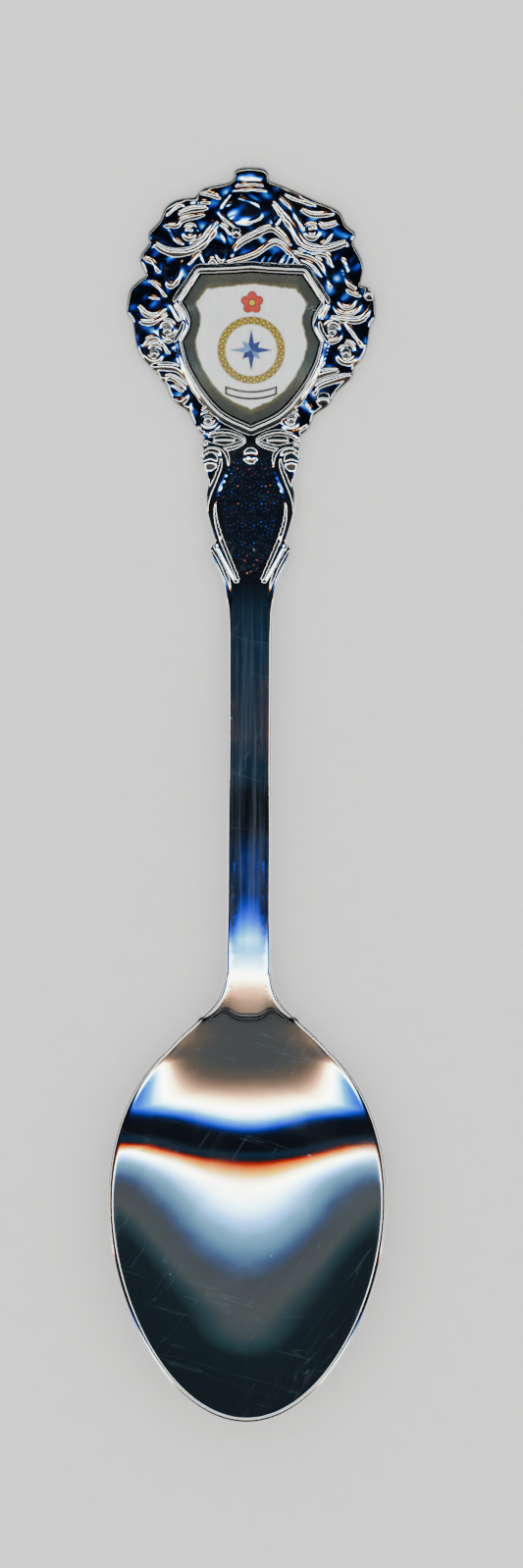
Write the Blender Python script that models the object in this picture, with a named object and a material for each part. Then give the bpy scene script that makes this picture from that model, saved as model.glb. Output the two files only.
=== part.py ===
"""Souvenir spoon: a struck metal body and the small domed badge glued in its shield pocket.

Frame: +Z up, the spoon lies face up on its back, bowl towards -Y and head towards +Y.
Origin: on the table, under the middle of the whole spoon.
All lengths below are millimetres; solid() turns them into metres.
"""
import math

import bpy
import numpy as np
from mathutils.geometry import delaunay_2d_cdt

MM = 0.001

# Bowl: an egg-shaped outline, a wall of even thickness and a rolled rim.
BOWL_CENTRE_Y = -36.75
BOWL_HALF_LENGTH = 17.5
BOWL_HALF_WIDTH = 12.03
BOWL_EGG = 0.11              # how much wider the heel half is than the tip half
BOWL_END_Y = -22.0           # the egg gives way to the fillet here
BOWL_SECTION_POWER = 2.05    # 2 is a parabola across the bowl; more is a flatter bottom
BOWL_WALL = 0.9
RIM_ROUND = 0.38

# Stem and head.
STEM_TOP_Y = 14.0
STEM_ROUND = 0.35
STEM_CROWN = 0.30            # how far the stem's back is thinner at its edges
FLUTE_X = 1.25
FLUTE_HALF_WIDTH = 0.30
FLUTE_DEPTH = 0.10
FLUTE_ENDS = (-14.0, 16.5)
HEAD_FLAT_Y = 34.0           # from here up the head lies flat
HEAD_GROUND_Z = 1.15         # the face of the head, before the raised ornament
HEAD_ROUND = 0.28

# Heel: the stem's face ends in the bowl as a tongue with a small step under it.
TONGUE_HALF_WIDTH = 1.45
TONGUE_Y = -19.15
SHOULDER_Y = -18.55
STEP_RUN = 0.45

# Pocket and badge, from the pocket's floor upwards.
POCKET_FLOOR_Z = 0.50
POCKET_RIM_WIDTH = 0.38
POCKET_RIM_RISE = 0.42
ADHESIVE_Z = (0.53, 0.63)
PLATE_Z = (0.66, 0.80)
INK_Z = (0.82, 0.88)
DOME_SKIRT_Z = 0.67
DOME_UNDER_Z = 0.91
DOME_EDGE_Z = 1.08
DOME_CROWN = 0.34
ADHESIVE_INSET = 0.12
DOME_INSET = 0.10
DOME_SKIRT_WIDTH = 0.62

RING_CENTRE = (0.0, 38.4)
RING_RADII = (2.25, 2.9)
COMPASS_RADII = (1.85, 0.62, 1.1)    # long points, notches, short points
ROSETTE_CENTRE = (0.05, 42.5)
ROSETTE_RADIUS = 0.72
ROSETTE_LOBE = 0.28
RIBBON_HALF_LENGTH = 2.25
RIBBON_HALF_HEIGHT = 0.38
RIBBON_LINE = 0.14
RIBBON_Y = 34.5
RIBBON_SAG = 0.09

# Outline of the right side from the bowl's heel to the shoulder of the head. Each run is a
# smooth curve and the runs meet in corners.
HEEL_RUN = [(7.16, -22.0), (6.15, -21.0), (5.15, -20.05), (3.95, -19.0), (2.95, -17.9),
            (2.4, -16.8), (2.1, -15.5), (1.97, -13.5), (1.97, 0.0), (2.0, STEM_TOP_Y)]
NECK_RUNS = [
    [(2.0, STEM_TOP_Y), (2.1, 16.5), (2.35, 18.2), (3.15, 20.0), (3.6, 21.2)],
    [(3.6, 21.2), (3.15, 22.0)],
    [(3.15, 22.0), (3.6, 23.5), (4.0, 25.2), (3.75, 27.2), (4.35, 28.8), (4.3, 29.95)],
]

# The cast-looking border of the head is uneven, so each side has its own runs.
HEAD_RIGHT = [
    [(4.3, 29.95), (4.35, 31.0)],
    [(4.35, 31.0), (5.0, 31.6), (5.6, 32.8), (6.7, 33.6), (7.4, 34.7), (8.7, 36.0), (8.9, 36.8)],
    [(8.9, 36.8), (9.9, 38.2), (10.35, 40.5)],
    [(10.35, 40.5), (10.75, 41.4), (10.65, 43.2), (10.2, 43.85), (9.45, 44.1)],
    [(9.45, 44.1), (9.65, 45.9), (8.8, 47.75)],
    [(8.8, 47.75), (9.0, 48.55), (8.2, 49.3), (7.5, 50.5), (5.5, 51.4), (3.5, 52.3), (1.5, 53.1)],
    [(1.5, 53.1), (1.4, 53.8), (0.9, 54.15), (0.0, 54.25)],
]
HEAD_LEFT = [
    [(-4.3, 29.95), (-4.2, 31.0)],
    [(-4.2, 31.0), (-4.75, 31.6), (-5.5, 33.0), (-6.8, 34.0), (-7.4, 35.2), (-8.5, 36.6),
     (-9.8, 38.2), (-10.3, 40.8)],
    [(-10.3, 40.8), (-10.8, 41.7), (-10.6, 43.4), (-10.0, 44.2), (-9.15, 44.85)],
    [(-9.15, 44.85), (-9.7, 46.3), (-8.9, 47.65)],
    [(-8.9, 47.65), (-8.95, 48.5), (-8.0, 49.6), (-7.5, 50.7), (-6.5, 51.4), (-4.95, 51.65)],
    [(-4.95, 51.65), (-4.2, 52.4), (-2.0, 52.95), (-1.6, 53.4)],
    [(-1.6, 53.4), (-1.55, 53.9), (-0.9, 54.2), (0.0, 54.25)],
]

# Right half of the pocket, from the middle of its top edge to its apex.
SHIELD_RUNS = [
    [(0.0, 45.2), (2.2, 45.05), (4.4, 44.97)],
    [(4.4, 44.97), (6.0, 42.55)],
    [(6.0, 42.55), (5.5, 41.75), (5.25, 40.9), (5.4, 40.1), (5.95, 39.1)],
    [(5.95, 39.1), (5.4, 37.2), (4.15, 35.0), (2.4, 33.1), (0.0, 31.9)],
]
# Right half of the white plate in it.
PLATE_RUNS = [
    [(0.0, 44.2), (3.9, 43.75)],
    [(3.9, 43.75), (4.9, 42.4)],
    [(4.9, 42.4), (4.45, 41.1), (4.9, 39.0)],
    [(4.9, 39.0), (4.5, 37.4), (3.5, 35.6), (2.1, 34.2), (0.0, 33.2)],
]

# Heights along the spoon: (y, z) of the middle of the face, and of its two edges. The stem is
# straight and falls gently towards the head, which lies flat.
BOWL_FLOOR = [(-54.25, 5.85), (-50.0, 4.5), (-46.0, 3.53), (-42.0, 2.68), (-38.0, 1.95),
              (-36.0, 1.63), (-34.0, 1.335), (-31.7, 1.04), (-30.7, 0.95), (-29.3, 0.91),
              (-27.0, 0.985), (-25.1, 1.13), (-24.0, 1.26), (-22.5, 1.53), (-21.5, 1.74),
              (-19.4, 2.2), (-17.0, 2.75)]
RIM_HEIGHT = [(-54.25, 5.85), (-46.0, 5.3), (-37.0, 4.62), (-28.0, 3.9), (-22.0, 3.42),
              (-17.0, 3.15), (-12.0, 3.33), (-8.0, 3.36), (-4.0, 3.38)]
STEM_HEIGHT = [(-22.0, 2.47), (-18.4, 2.865), (-16.4, 3.03), (-13.4, 3.204), (-10.4, 3.3),
               (-6.5, 3.337), (-3.0, 3.35), (0.0, 3.27), (2.0, 3.13), (8.0, 2.62), (14.0, 2.11),
               (17.0, 1.87), (20.0, 1.69), (26.0, 1.42), (30.0, 1.24), (HEAD_FLAT_Y, HEAD_GROUND_Z)]
DISH_Y = (-13.0, -7.0)       # across this stretch the dished heel turns into the flat stem
THICKNESS = [(-54.25, BOWL_WALL), (-30.0, BOWL_WALL), (-24.0, 0.95), (-18.0, 1.45), (-12.0, 1.6),
             (0.0, 1.55), (14.0, 1.5), (26.0, 1.3), (HEAD_FLAT_Y, HEAD_GROUND_Z)]

# Raised ornament: ridges as (half width, height, points of the ridge line).
NECK_RIDGES = [
    (0.34, 0.30, [(2.0, 29.3), (2.4, 28.0), (3.0, 26.2), (2.9, 24.5), (2.4, 23.0), (1.5, 20.5),
                  (0.3, 17.9)]),
    (0.38, 0.34, [(3.5, 26.9), (3.7, 25.2), (3.3, 23.5), (2.8, 22.0), (1.9, 20.0), (0.5, 17.3)]),
    (0.32, 0.28, [(4.1, 30.6), (3.0, 31.2), (1.6, 31.3), (0.5, 31.0)]),
]
HEAD_RIDGES = [
    (0.42, 0.45, [(-3.0, 49.3), (-3.6, 48.3), (-4.6, 47.3), (-6.0, 46.85), (-7.4, 47.0), (-8.6, 47.7)]),
    (0.42, 0.45, [(1.9, 51.1), (3.4, 49.2), (4.6, 47.5), (5.8, 47.2), (7.0, 47.4), (8.5, 47.9)]),
    (0.36, 0.38, [(-1.6, 46.7), (0.1, 48.2), (1.65, 49.0), (3.3, 47.6)]),
    (0.34, 0.30, [(-2.2, 45.95), (0.2, 46.7), (2.0, 47.6), (4.2, 45.95)]),
    (0.34, 0.32, [(-6.7, 49.6), (-5.6, 50.4), (-3.9, 50.5)]),
    (0.34, 0.32, [(-6.4, 51.0), (-4.4, 51.3), (-3.0, 51.7)]),
    (0.34, 0.32, [(4.4, 50.5), (5.4, 50.2), (6.9, 50.0)]),
    (0.34, 0.32, [(2.4, 51.9), (3.6, 51.5), (4.6, 51.3)]),
    (0.34, 0.34, [(-7.5, 45.8), (-7.4, 44.7), (-6.95, 44.0), (-6.3, 44.8), (-6.0, 46.0)]),
    (0.36, 0.34, [(4.1, 47.0), (5.6, 46.5), (6.5, 45.5), (6.9, 44.2)]),
    (0.34, 0.34, [(7.9, 45.9), (8.3, 44.6), (9.2, 43.8)]),
    (0.36, 0.36, [(6.9, 41.4), (8.0, 41.1), (9.3, 41.1), (10.1, 42.0)]),
    (0.34, 0.34, [(8.3, 40.9), (9.0, 39.9), (9.7, 38.9)]),
    (0.36, 0.36, [(-9.7, 41.2), (-8.8, 40.9), (-7.9, 41.2), (-6.9, 42.2)]),
    (0.34, 0.34, [(-9.8, 42.6), (-9.1, 43.5), (-8.0, 43.9), (-7.4, 43.2)]),
    (0.40, 0.42, [(4.8, 35.0), (5.3, 36.0), (6.2, 36.5), (7.6, 36.7)]),
    (0.38, 0.38, [(5.4, 34.7), (6.0, 35.5), (7.0, 35.8), (8.3, 36.0)]),
    (0.40, 0.42, [(-8.8, 36.9), (-7.2, 37.0), (-5.9, 36.4), (-5.2, 35.3)]),
    (0.36, 0.36, [(-7.9, 36.0), (-6.6, 35.9), (-5.6, 35.1), (-5.7, 34.2), (-6.6, 34.2)]),
    (0.34, 0.34, [(-2.6, 32.7), (-1.2, 31.95), (0.0, 31.45), (1.2, 31.95), (2.4, 32.6)]),
]
# Scrolls that curl in on themselves: (centre x, centre y, radius, start angle, turns).
VOLUTES = [
    (6.95, 40.15, 0.95, 250.0, 1.25),
    (8.2, 38.2, 1.0, 90.0, -1.25),
    (3.5, 32.5, 0.95, 60.0, 1.25),
    (-7.25, 40.15, 0.95, -70.0, -1.25),
    (-8.3, 38.3, 0.95, 90.0, 1.25),
    (-3.7, 32.5, 0.95, 120.0, -1.25),
    (-5.3, 48.55, 0.75, 20.0, 1.2),
    (5.2, 48.7, 0.75, 160.0, -1.2),
]
VOLUTE_HALF_WIDTH = 0.30
VOLUTE_HEIGHT = 0.38
VOLUTE_CLOSING = 0.62        # radius lost over the whole curl
# Domed studs: (x, y, x radius, y radius, height).
STUDS = [
    (0.0, 29.3, 0.68, 0.68, 0.50),
    (3.4, 28.9, 0.62, 0.85, 0.38),
    (-3.4, 28.9, 0.62, 0.85, 0.38),
    (1.95, 30.7, 1.05, 0.40, 0.30),
    (-1.95, 30.7, 1.05, 0.40, 0.30),
    (0.0, 53.45, 1.4, 0.75, 0.35),
    (-0.6, 50.6, 1.7, 1.35, 0.34),
    (10.1, 43.3, 0.45, 0.55, 0.35),
    (-10.1, 42.6, 0.50, 0.8, 0.35),
    (6.3, 34.25, 0.62, 0.55, 0.38),
    (-1.4, 48.4, 0.45, 0.45, 0.35),
]

# Spacing of the points that carry each surface.
EDGE_STEP_BOWL = 1.1
EDGE_STEP_HEAD = 0.55
BOWL_GRID = 1.35
HEAD_GRID = 0.46
BACK_GRID = 2.2

MATERIALS = {
    "spoon_metal": ((0.62, 0.63, 0.64, 1.0), 1.0, 0.12),
    "adhesive": ((0.10, 0.11, 0.10, 1.0), 0.0, 0.6),
    "white_plate": ((0.80, 0.80, 0.82, 1.0), 0.0, 0.35),
    "yellow_ink": ((0.62, 0.42, 0.03, 1.0), 0.0, 0.35),
    "blue_ink": ((0.02, 0.04, 0.30, 1.0), 0.0, 0.35),
    "red_ink": ((0.75, 0.05, 0.02, 1.0), 0.0, 0.35),
    "black_ink": ((0.03, 0.03, 0.04, 1.0), 0.0, 0.35),
    "clear_resin": ((0.90, 0.92, 0.93, 1.0), 0.0, 0.05),
}


# ---------------------------------------------------------------- plane curves

def curve(points, step):
    """Points of a smooth curve through the given ones, about one step apart."""
    p = np.array(points, float)
    if len(p) == 2:
        slopes = np.array([p[1] - p[0]] * 2)
    else:
        slopes = np.gradient(p, axis=0)
    out = [p[:1]]
    for a, b, da, db in zip(p[:-1], p[1:], slopes[:-1], slopes[1:]):
        n = max(1, round(float(np.hypot(*(b - a))) / step))
        t = (np.arange(1, n + 1) / n)[:, None]
        h = t * t * (3 - 2 * t)
        out.append(a + (b - a) * h + da * t * (1 - t) ** 2 - db * t * t * (1 - t))
    return np.vstack(out)


def chain(runs, step):
    """Runs one after another, without doubling the corners between them."""
    parts = [curve(run, step) for run in runs]
    return np.vstack([part[:-1] for part in parts])


def mirrored(points):
    return [(-x, y) for x, y in points]


def symmetric_loop(runs, step):
    """Closed loop from the right half's runs, anticlockwise."""
    right = chain(runs, step)
    apex = np.array([runs[-1][-1]], float)
    left = right[1:][::-1] * (-1, 1)
    return np.vstack([right, apex, left])[::-1]


def bowl_egg(angle):
    """Right edge of the bowl: angle 0 is the tip, pi the end at the heel."""
    x = BOWL_HALF_WIDTH * np.sin(angle) * (1 - BOWL_EGG * np.cos(angle))
    return np.stack([x, BOWL_CENTRE_Y - BOWL_HALF_LENGTH * np.cos(angle)], axis=1)


def spoon_outline():
    """Closed outline seen from above, anticlockwise from the bowl's tip."""
    last = math.acos((BOWL_CENTRE_Y - BOWL_END_Y) / BOWL_HALF_LENGTH)
    count = round(last * BOWL_HALF_LENGTH * 0.85 / EDGE_STEP_BOWL)
    egg = bowl_egg(np.linspace(0, last, count, endpoint=False))
    shared = np.vstack([egg, chain([HEEL_RUN], EDGE_STEP_BOWL), chain(NECK_RUNS, EDGE_STEP_HEAD)])
    right = np.vstack([shared, chain(HEAD_RIGHT, EDGE_STEP_HEAD)])
    left = np.vstack([shared * (-1, 1), chain(HEAD_LEFT, EDGE_STEP_HEAD)])
    top = np.array([HEAD_RIGHT[-1][-1]])
    return np.vstack([right, top, left[1:][::-1]])


def closed(loop):
    return np.vstack([loop, loop[:1]])


def distance(points, path):
    """How far each point is from a path of straight segments."""
    best = np.full(len(points), np.inf)
    for a, b in zip(path[:-1], path[1:]):
        d = b - a
        t = np.clip((points - a) @ d / (d @ d), 0, 1)
        gap = points - a - t[:, None] * d
        best = np.minimum(best, np.hypot(gap[:, 0], gap[:, 1]))
    return best


def inside(points, loop):
    """Which points lie inside a closed loop."""
    x, y = points[:, 0], points[:, 1]
    odd = np.zeros(len(points), bool)
    for (ax, ay), (bx, by) in zip(loop, np.roll(loop, -1, axis=0)):
        if ay == by:
            continue
        crosses = (ay > y) != (by > y)
        odd ^= crosses & (x < ax + (y - ay) * (bx - ax) / (by - ay))
    return odd


def inset(loop, depth):
    """The loop moved inwards, along the bisector at each of its points."""
    ahead = np.roll(loop, -1, axis=0) - loop
    ahead /= np.hypot(ahead[:, 0], ahead[:, 1])[:, None]
    both = ahead + np.roll(ahead, 1, axis=0)
    both /= np.hypot(both[:, 0], both[:, 1])[:, None]
    normal = np.stack([-both[:, 1], both[:, 0]], axis=1)
    return loop + depth * normal


def ring_points(loop, depth):
    """Points of the inset loop that really are that deep inside."""
    ring = inset(loop, depth)
    kept = inside(ring, loop) & (distance(ring, closed(loop)) > 0.93 * depth)
    return ring[kept]


def grid(low, high, spacing):
    """Points of an even triangular grid in a box."""
    rows = np.arange(low[1], high[1], spacing * math.sqrt(0.75))
    columns = np.arange(low[0], high[0], spacing)
    x, y = np.meshgrid(columns, rows)
    x = x + spacing / 2 * (np.arange(len(rows)) % 2)[:, None]
    return np.stack([x.ravel(), y.ravel()], axis=1)


# ---------------------------------------------------------------- heights

def natural_spline(knots, at):
    """Value of the smooth cubic through (place, value) knots, flat-ended past the last ones."""
    x, y = np.array(knots, float).T
    h = np.diff(x)
    n = len(x)
    rows = np.eye(n)
    right = np.zeros(n)
    for i in range(1, n - 1):
        rows[i, i - 1:i + 2] = h[i - 1], 2 * (h[i - 1] + h[i]), h[i]
        right[i] = 6 * ((y[i + 1] - y[i]) / h[i] - (y[i] - y[i - 1]) / h[i - 1])
    rows[-1, -2:] = h[-1], 2 * h[-1]
    right[-1] = -6 * (y[-1] - y[-2]) / h[-1]
    bend = np.linalg.solve(rows, right)
    at = np.clip(at, x[0], x[-1])
    k = np.clip(np.searchsorted(x, at) - 1, 0, n - 2)
    a = (x[k + 1] - at) / h[k]
    b = 1 - a
    return (a * y[k] + b * y[k + 1]
            + ((a ** 3 - a) * bend[k] + (b ** 3 - b) * bend[k + 1]) * h[k] ** 2 / 6)


def smooth_step(t):
    t = np.clip(t, 0, 1)
    return t * t * (3 - 2 * t)


def half_width(y):
    """Half the spoon's width at y, for the bowl, heel and stem."""
    s = np.clip((y - BOWL_CENTRE_Y) / BOWL_HALF_LENGTH, -1, 1)
    egg = BOWL_HALF_WIDTH * np.sqrt(1 - s * s) * (1 + BOWL_EGG * s)
    heel = curve(HEEL_RUN, 0.5)
    side = np.interp(y, heel[:, 1], heel[:, 0])
    return np.maximum(np.where(y < BOWL_END_Y, egg, side), 0.05)


def face(x, y):
    """Height of the smooth face, without the heel's step or any ornament."""
    u = np.clip(np.abs(x) / half_width(y), 0, 1)
    floor = natural_spline(BOWL_FLOOR, y)
    rim = natural_spline(RIM_HEIGHT, y)
    bowl = floor + (rim - floor) * u ** BOWL_SECTION_POWER
    stem = natural_spline(STEM_HEIGHT, y)
    dish = smooth_step((DISH_Y[1] - y) / (DISH_Y[1] - DISH_Y[0]))
    return bowl, stem + dish * (rim - stem) * u ** 3


def heel_edge(x):
    """Where the step under the stem's face lies."""
    beside = smooth_step((np.abs(x) - TONGUE_HALF_WIDTH) / 0.4 + 0.5)
    return TONGUE_Y + (SHOULDER_Y - TONGUE_Y) * beside


def body_height(x, y):
    bowl, stem = face(x, y)
    return bowl + (stem - bowl) * smooth_step((y - heel_edge(x)) / STEP_RUN + 0.5)


def back_height(x, y):
    """Height of the spoon's back: the face lowered by the wall, measured square to it."""
    def smooth_face(px, py):
        bowl, stem = face(px, py)
        return bowl + (stem - bowl) * smooth_step((py + 21.5) / 5)
    e = 0.05
    slope_x = (smooth_face(x + e, y) - smooth_face(x - e, y)) / (2 * e)
    slope_y = (smooth_face(x, y + e) - smooth_face(x, y - e)) / (2 * e)
    steep = np.sqrt(1 + np.minimum(slope_x ** 2 + slope_y ** 2, 1.0))
    thick = natural_spline(THICKNESS, y)
    stem_share = smooth_step((y + 22) / 6) * smooth_step((30 - y) / 8)
    crown = STEM_CROWN * stem_share * np.clip(np.abs(x) / half_width(y), 0, 1) ** 2
    z = smooth_face(x, y) - thick * steep + crown
    return np.where(y >= HEAD_FLAT_Y, 0.0, np.maximum(z, 0.0))


def ridge(points, half, height, path):
    """A rounded ridge along a path."""
    near = distance(points, path) / half
    return height * np.clip(1 - near * near, 0, 1) ** 0.8


def volute_path(cx, cy, radius, start, turns):
    t = np.linspace(0, 1, 22)
    angle = np.radians(start) + 2 * math.pi * turns * t
    r = radius - VOLUTE_CLOSING * radius * t
    return np.stack([cx + r * np.cos(angle), cy + r * np.sin(angle)], axis=1)


def ornament(points, pocket):
    """Height of the raised ornament above the head's face."""
    top = np.zeros(len(points))
    for half, height, path in HEAD_RIDGES + NECK_RIDGES:
        top = np.maximum(top, ridge(points, half, height, curve(path, 0.4)))
    for half, height, path in NECK_RIDGES:
        top = np.maximum(top, ridge(points, half, height, curve(mirrored(path), 0.4)))
    for volute in VOLUTES:
        path = volute_path(*volute)
        top = np.maximum(top, ridge(points, VOLUTE_HALF_WIDTH, VOLUTE_HEIGHT, path))
    for x, y, rx, ry, height in STUDS:
        off = ((points[:, 0] - x) / rx) ** 2 + ((points[:, 1] - y) / ry) ** 2
        top = np.maximum(top, height * np.sqrt(np.clip(1 - off, 0, 1)))
    from_wall = distance(points, closed(pocket)) / POCKET_RIM_WIDTH - 1
    return np.maximum(top, POCKET_RIM_RISE * np.clip(1 - from_wall ** 2, 0, 1) ** 0.8)


def flutes(x, y):
    """The two shallow grooves along the stem."""
    across = np.clip(1 - ((np.abs(x) - FLUTE_X) / FLUTE_HALF_WIDTH) ** 2, 0, 1)
    ends = smooth_step((y - FLUTE_ENDS[0]) / 3) * smooth_step((FLUTE_ENDS[1] - y) / 3)
    return FLUTE_DEPTH * across * ends


def edge_round(points, outline):
    """How far the rolled edge has dropped, and the radius it has, at each point."""
    y = points[:, 1]
    radius = RIM_ROUND + (STEM_ROUND - RIM_ROUND) * smooth_step((y + 20) / 6)
    radius = radius + (HEAD_ROUND - STEM_ROUND) * smooth_step((y - 16) / 6)
    into = np.clip(radius - distance(points, closed(outline)), 0, radius)
    return radius - np.sqrt(radius ** 2 - into ** 2)


def top_height(points, outline, pocket):
    x, y = points.T
    z = body_height(x, y) - flutes(x, y) - edge_round(points, outline)
    on_head = smooth_step((y - 16) / 3)
    return z + on_head * ornament(points, pocket)


def bottom_height(points, outline):
    x, y = points.T
    return back_height(x, y) + edge_round(points, outline)


# ---------------------------------------------------------------- solids

def single(points):
    """The points as 32-bit numbers hold them, so that every test sees the same places."""
    return np.asarray(points, np.float32).astype(float).reshape(-1, 2)


def triangulate(loops, points):
    """Triangles between the loops (outer first, then holes), using the loose points too."""
    loops = [single(loop) for loop in loops]
    flat = np.vstack(loops + [single(points)])
    edges = []
    start = 0
    for loop in loops:
        n = len(loop)
        edges += [(start + i, start + (i + 1) % n) for i in range(n)]
        start += n
    result = delaunay_2d_cdt([tuple(p) for p in flat], edges, [], 0, 1e-7)
    found = np.array([tuple(v) for v in result[0]])
    origin = [source[0] for source in result[3]]
    tris = np.array([[origin[i] for i in tri] for tri in result[2]])
    middle = found[np.array(result[2])].mean(axis=1)
    kept = inside(middle, loops[0])
    for hole in loops[1:]:
        kept &= ~inside(middle, hole)
    return flat, tris[kept]


def upward(flat, tris):
    """The triangles turned so that each runs anticlockwise from above."""
    a, b, c = flat[tris[:, 0]], flat[tris[:, 1]], flat[tris[:, 2]]
    u, v = b - a, c - a
    flip = u[:, 0] * v[:, 1] - u[:, 1] * v[:, 0] < 0
    tris = tris.copy()
    tris[flip] = tris[flip][:, ::-1]
    return tris


def wall(lower, upper, count):
    """Triangles of the band between two rings of the same count, facing out."""
    i = np.arange(count)
    j = (i + 1) % count
    one = np.stack([lower + i, lower + j, upper + j], axis=1)
    two = np.stack([lower + i, upper + j, upper + i], axis=1)
    return np.vstack([one, two])


def solid(name, vertices, triangles, material, smooth=40.0):
    """A named object in metres with its own material."""
    mesh = bpy.data.meshes.new(name)
    mesh.from_pydata([tuple(v) for v in np.asarray(vertices) * MM], [], [tuple(map(int, t)) for t in triangles])
    mesh.materials.append(material_of(material))
    mesh.validate()
    mesh.shade_smooth()
    mesh.set_sharp_from_angle(angle=math.radians(smooth))
    piece = bpy.data.objects.new(name, mesh)
    bpy.context.scene.collection.objects.link(piece)
    return piece


def material_of(name):
    if name in bpy.data.materials:
        return bpy.data.materials[name]
    colour, metallic, roughness = MATERIALS[name]
    material = bpy.data.materials.new(name)
    material.use_nodes = True
    shader = material.node_tree.nodes["Principled BSDF"]
    shader.inputs["Base Color"].default_value = colour
    shader.inputs["Metallic"].default_value = metallic
    shader.inputs["Roughness"].default_value = roughness
    return material


def layer(name, loops, levels, material):
    """A flat layer between two levels, with straight sides and any holes."""
    flat, tris = triangulate(loops, np.zeros((0, 2)))
    tris = upward(flat, tris)
    n = len(flat)
    low = np.column_stack([flat, np.full(n, levels[0])])
    high = np.column_stack([flat, np.full(n, levels[1])])
    faces = [tris[:, ::-1], tris + n]
    start = 0
    for k, loop in enumerate(loops):
        band = wall(start, n + start, len(loop))
        faces.append(band if k == 0 else band[:, ::-1])
        start += len(loop)
    return solid(name, np.vstack([low, high]), np.vstack(faces), material)


def circle(centre, radius, count):
    angle = 2 * math.pi * np.arange(count) / count
    return np.stack([centre[0] + radius * np.cos(angle), centre[1] + radius * np.sin(angle)], axis=1)


# ---------------------------------------------------------------- the spoon's body

def clear_of(points, paths, gap):
    kept = np.ones(len(points), bool)
    for path in paths:
        kept &= distance(points, closed(path)) > gap
    return points[kept]


def stem_rows():
    """Points on the lines that carry the stem's grooves."""
    across = [0.0, 0.6, FLUTE_X - FLUTE_HALF_WIDTH, FLUTE_X, FLUTE_X + FLUTE_HALF_WIDTH]
    across = sorted({-x for x in across} | set(across))
    x, y = np.meshgrid(across, np.arange(-14.0, 16.5, 2.0))
    return np.stack([x.ravel(), y.ravel()], axis=1)


def heel_rows():
    """Points on the foot and the crest of the step under the stem's face."""
    x = np.linspace(-3.2, 3.2, 15)
    rows = [np.stack([x, heel_edge(x) + side * STEP_RUN / 2], axis=1) for side in (-1, 1)]
    x = np.linspace(-1.9, 1.9, 5)
    rows += [np.stack([x, np.full(5, y)], axis=1) for y in (-17.2, -15.7)]
    return np.vstack(rows)


def face_points(outline, pocket):
    """Loose points of the face: rolled edge, bowl, heel, stem and the ornament."""
    edges = np.vstack([ring_points(outline, 0.09), ring_points(outline, 0.36)])
    bowl = grid((-12, -54), (12, -20.4), BOWL_GRID)
    head = grid((-11, 17.2), (11, 54), HEAD_GRID)
    loose = np.vstack([bowl, heel_rows(), stem_rows(), head])
    loose = loose[inside(loose, outline)]
    loose = clear_of(loose, [outline], 0.36 + 0.16)
    rim = np.vstack([inset(pocket, -POCKET_RIM_WIDTH), inset(pocket, -2 * POCKET_RIM_WIDTH)])
    rim = clear_of(rim[inside(rim, outline)], [outline], 0.45)
    loose = loose[~inside(loose, pocket)]
    loose = clear_of(loose, [pocket], 2 * POCKET_RIM_WIDTH + 0.14)
    return np.vstack([edges, rim, loose])


def back_points(outline):
    edges = np.vstack([ring_points(outline, 0.09), ring_points(outline, 0.36)])
    bowl = grid((-12, -54), (12, -17), BOWL_GRID)
    rest = grid((-11, -17), (11, 54), BACK_GRID)
    x, y = np.meshgrid([-1.1, 0.0, 1.1], np.arange(-16.5, 33.0, 2.2))
    stem = np.stack([x.ravel(), y.ravel()], axis=1)
    loose = np.vstack([bowl, stem, rest[rest[:, 1] > 35]])
    loose = loose[inside(loose, outline)]
    return np.vstack([edges, clear_of(loose, [outline], 0.36 + 0.2)])


def spoon_body(outline, pocket):
    face_flat, face_tris = triangulate([outline, pocket], face_points(outline, pocket))
    back_flat, back_tris = triangulate([outline], back_points(outline))
    floor_tris = upward(*triangulate([pocket], np.zeros((0, 2))))
    face_tris = upward(face_flat, face_tris)
    back_tris = upward(back_flat, back_tris)[:, ::-1]
    top = np.column_stack([face_flat, top_height(face_flat, outline, pocket)])
    back = np.column_stack([back_flat, bottom_height(back_flat, outline)])
    floor = np.column_stack([pocket, np.full(len(pocket), POCKET_FLOOR_Z)])
    n, m, k = len(top), len(back), len(outline)
    triangles = [face_tris, back_tris + n, floor_tris + n + m,
                 wall(n, 0, k), wall(n + m, k, len(pocket))[:, ::-1]]
    return solid("spoon_body", np.vstack([top, back, floor]), np.vstack(triangles), "spoon_metal", 50.0)


# ---------------------------------------------------------------- the badge

def dome(pocket):
    """Clear resin: crowned on top, hollowed underneath to sit over the plate and its inks."""
    edge = inset(pocket, DOME_INSET)
    middle = np.array([0.0, 38.6])
    rings = [middle + (edge - middle) * f for f in (0.93, 0.8, 0.6, 0.35)]
    top_flat, top_tris = triangulate([edge], np.vstack(rings + [middle[None]]))
    skirt = inset(edge, DOME_SKIRT_WIDTH)
    foot = inset(edge, DOME_SKIRT_WIDTH - 0.08)
    low_flat, low_tris = triangulate([edge], np.vstack([foot, skirt]))
    deep = distance(top_flat, closed(edge))
    rise = DOME_CROWN * np.sqrt(1 - (1 - np.clip(deep / 5.0, 0, 1)) ** 2)
    top = np.column_stack([top_flat, DOME_EDGE_Z + rise])
    under = np.full(len(low_flat), DOME_SKIRT_Z)
    under[len(edge) + len(foot):] = DOME_UNDER_Z
    low = np.column_stack([low_flat, under])
    n = len(top)
    triangles = [upward(top_flat, top_tris), upward(low_flat, low_tris)[:, ::-1] + n, wall(n, 0, len(edge))]
    return solid("badge_dome", np.vstack([top, low]), np.vstack(triangles), "clear_resin")


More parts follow.
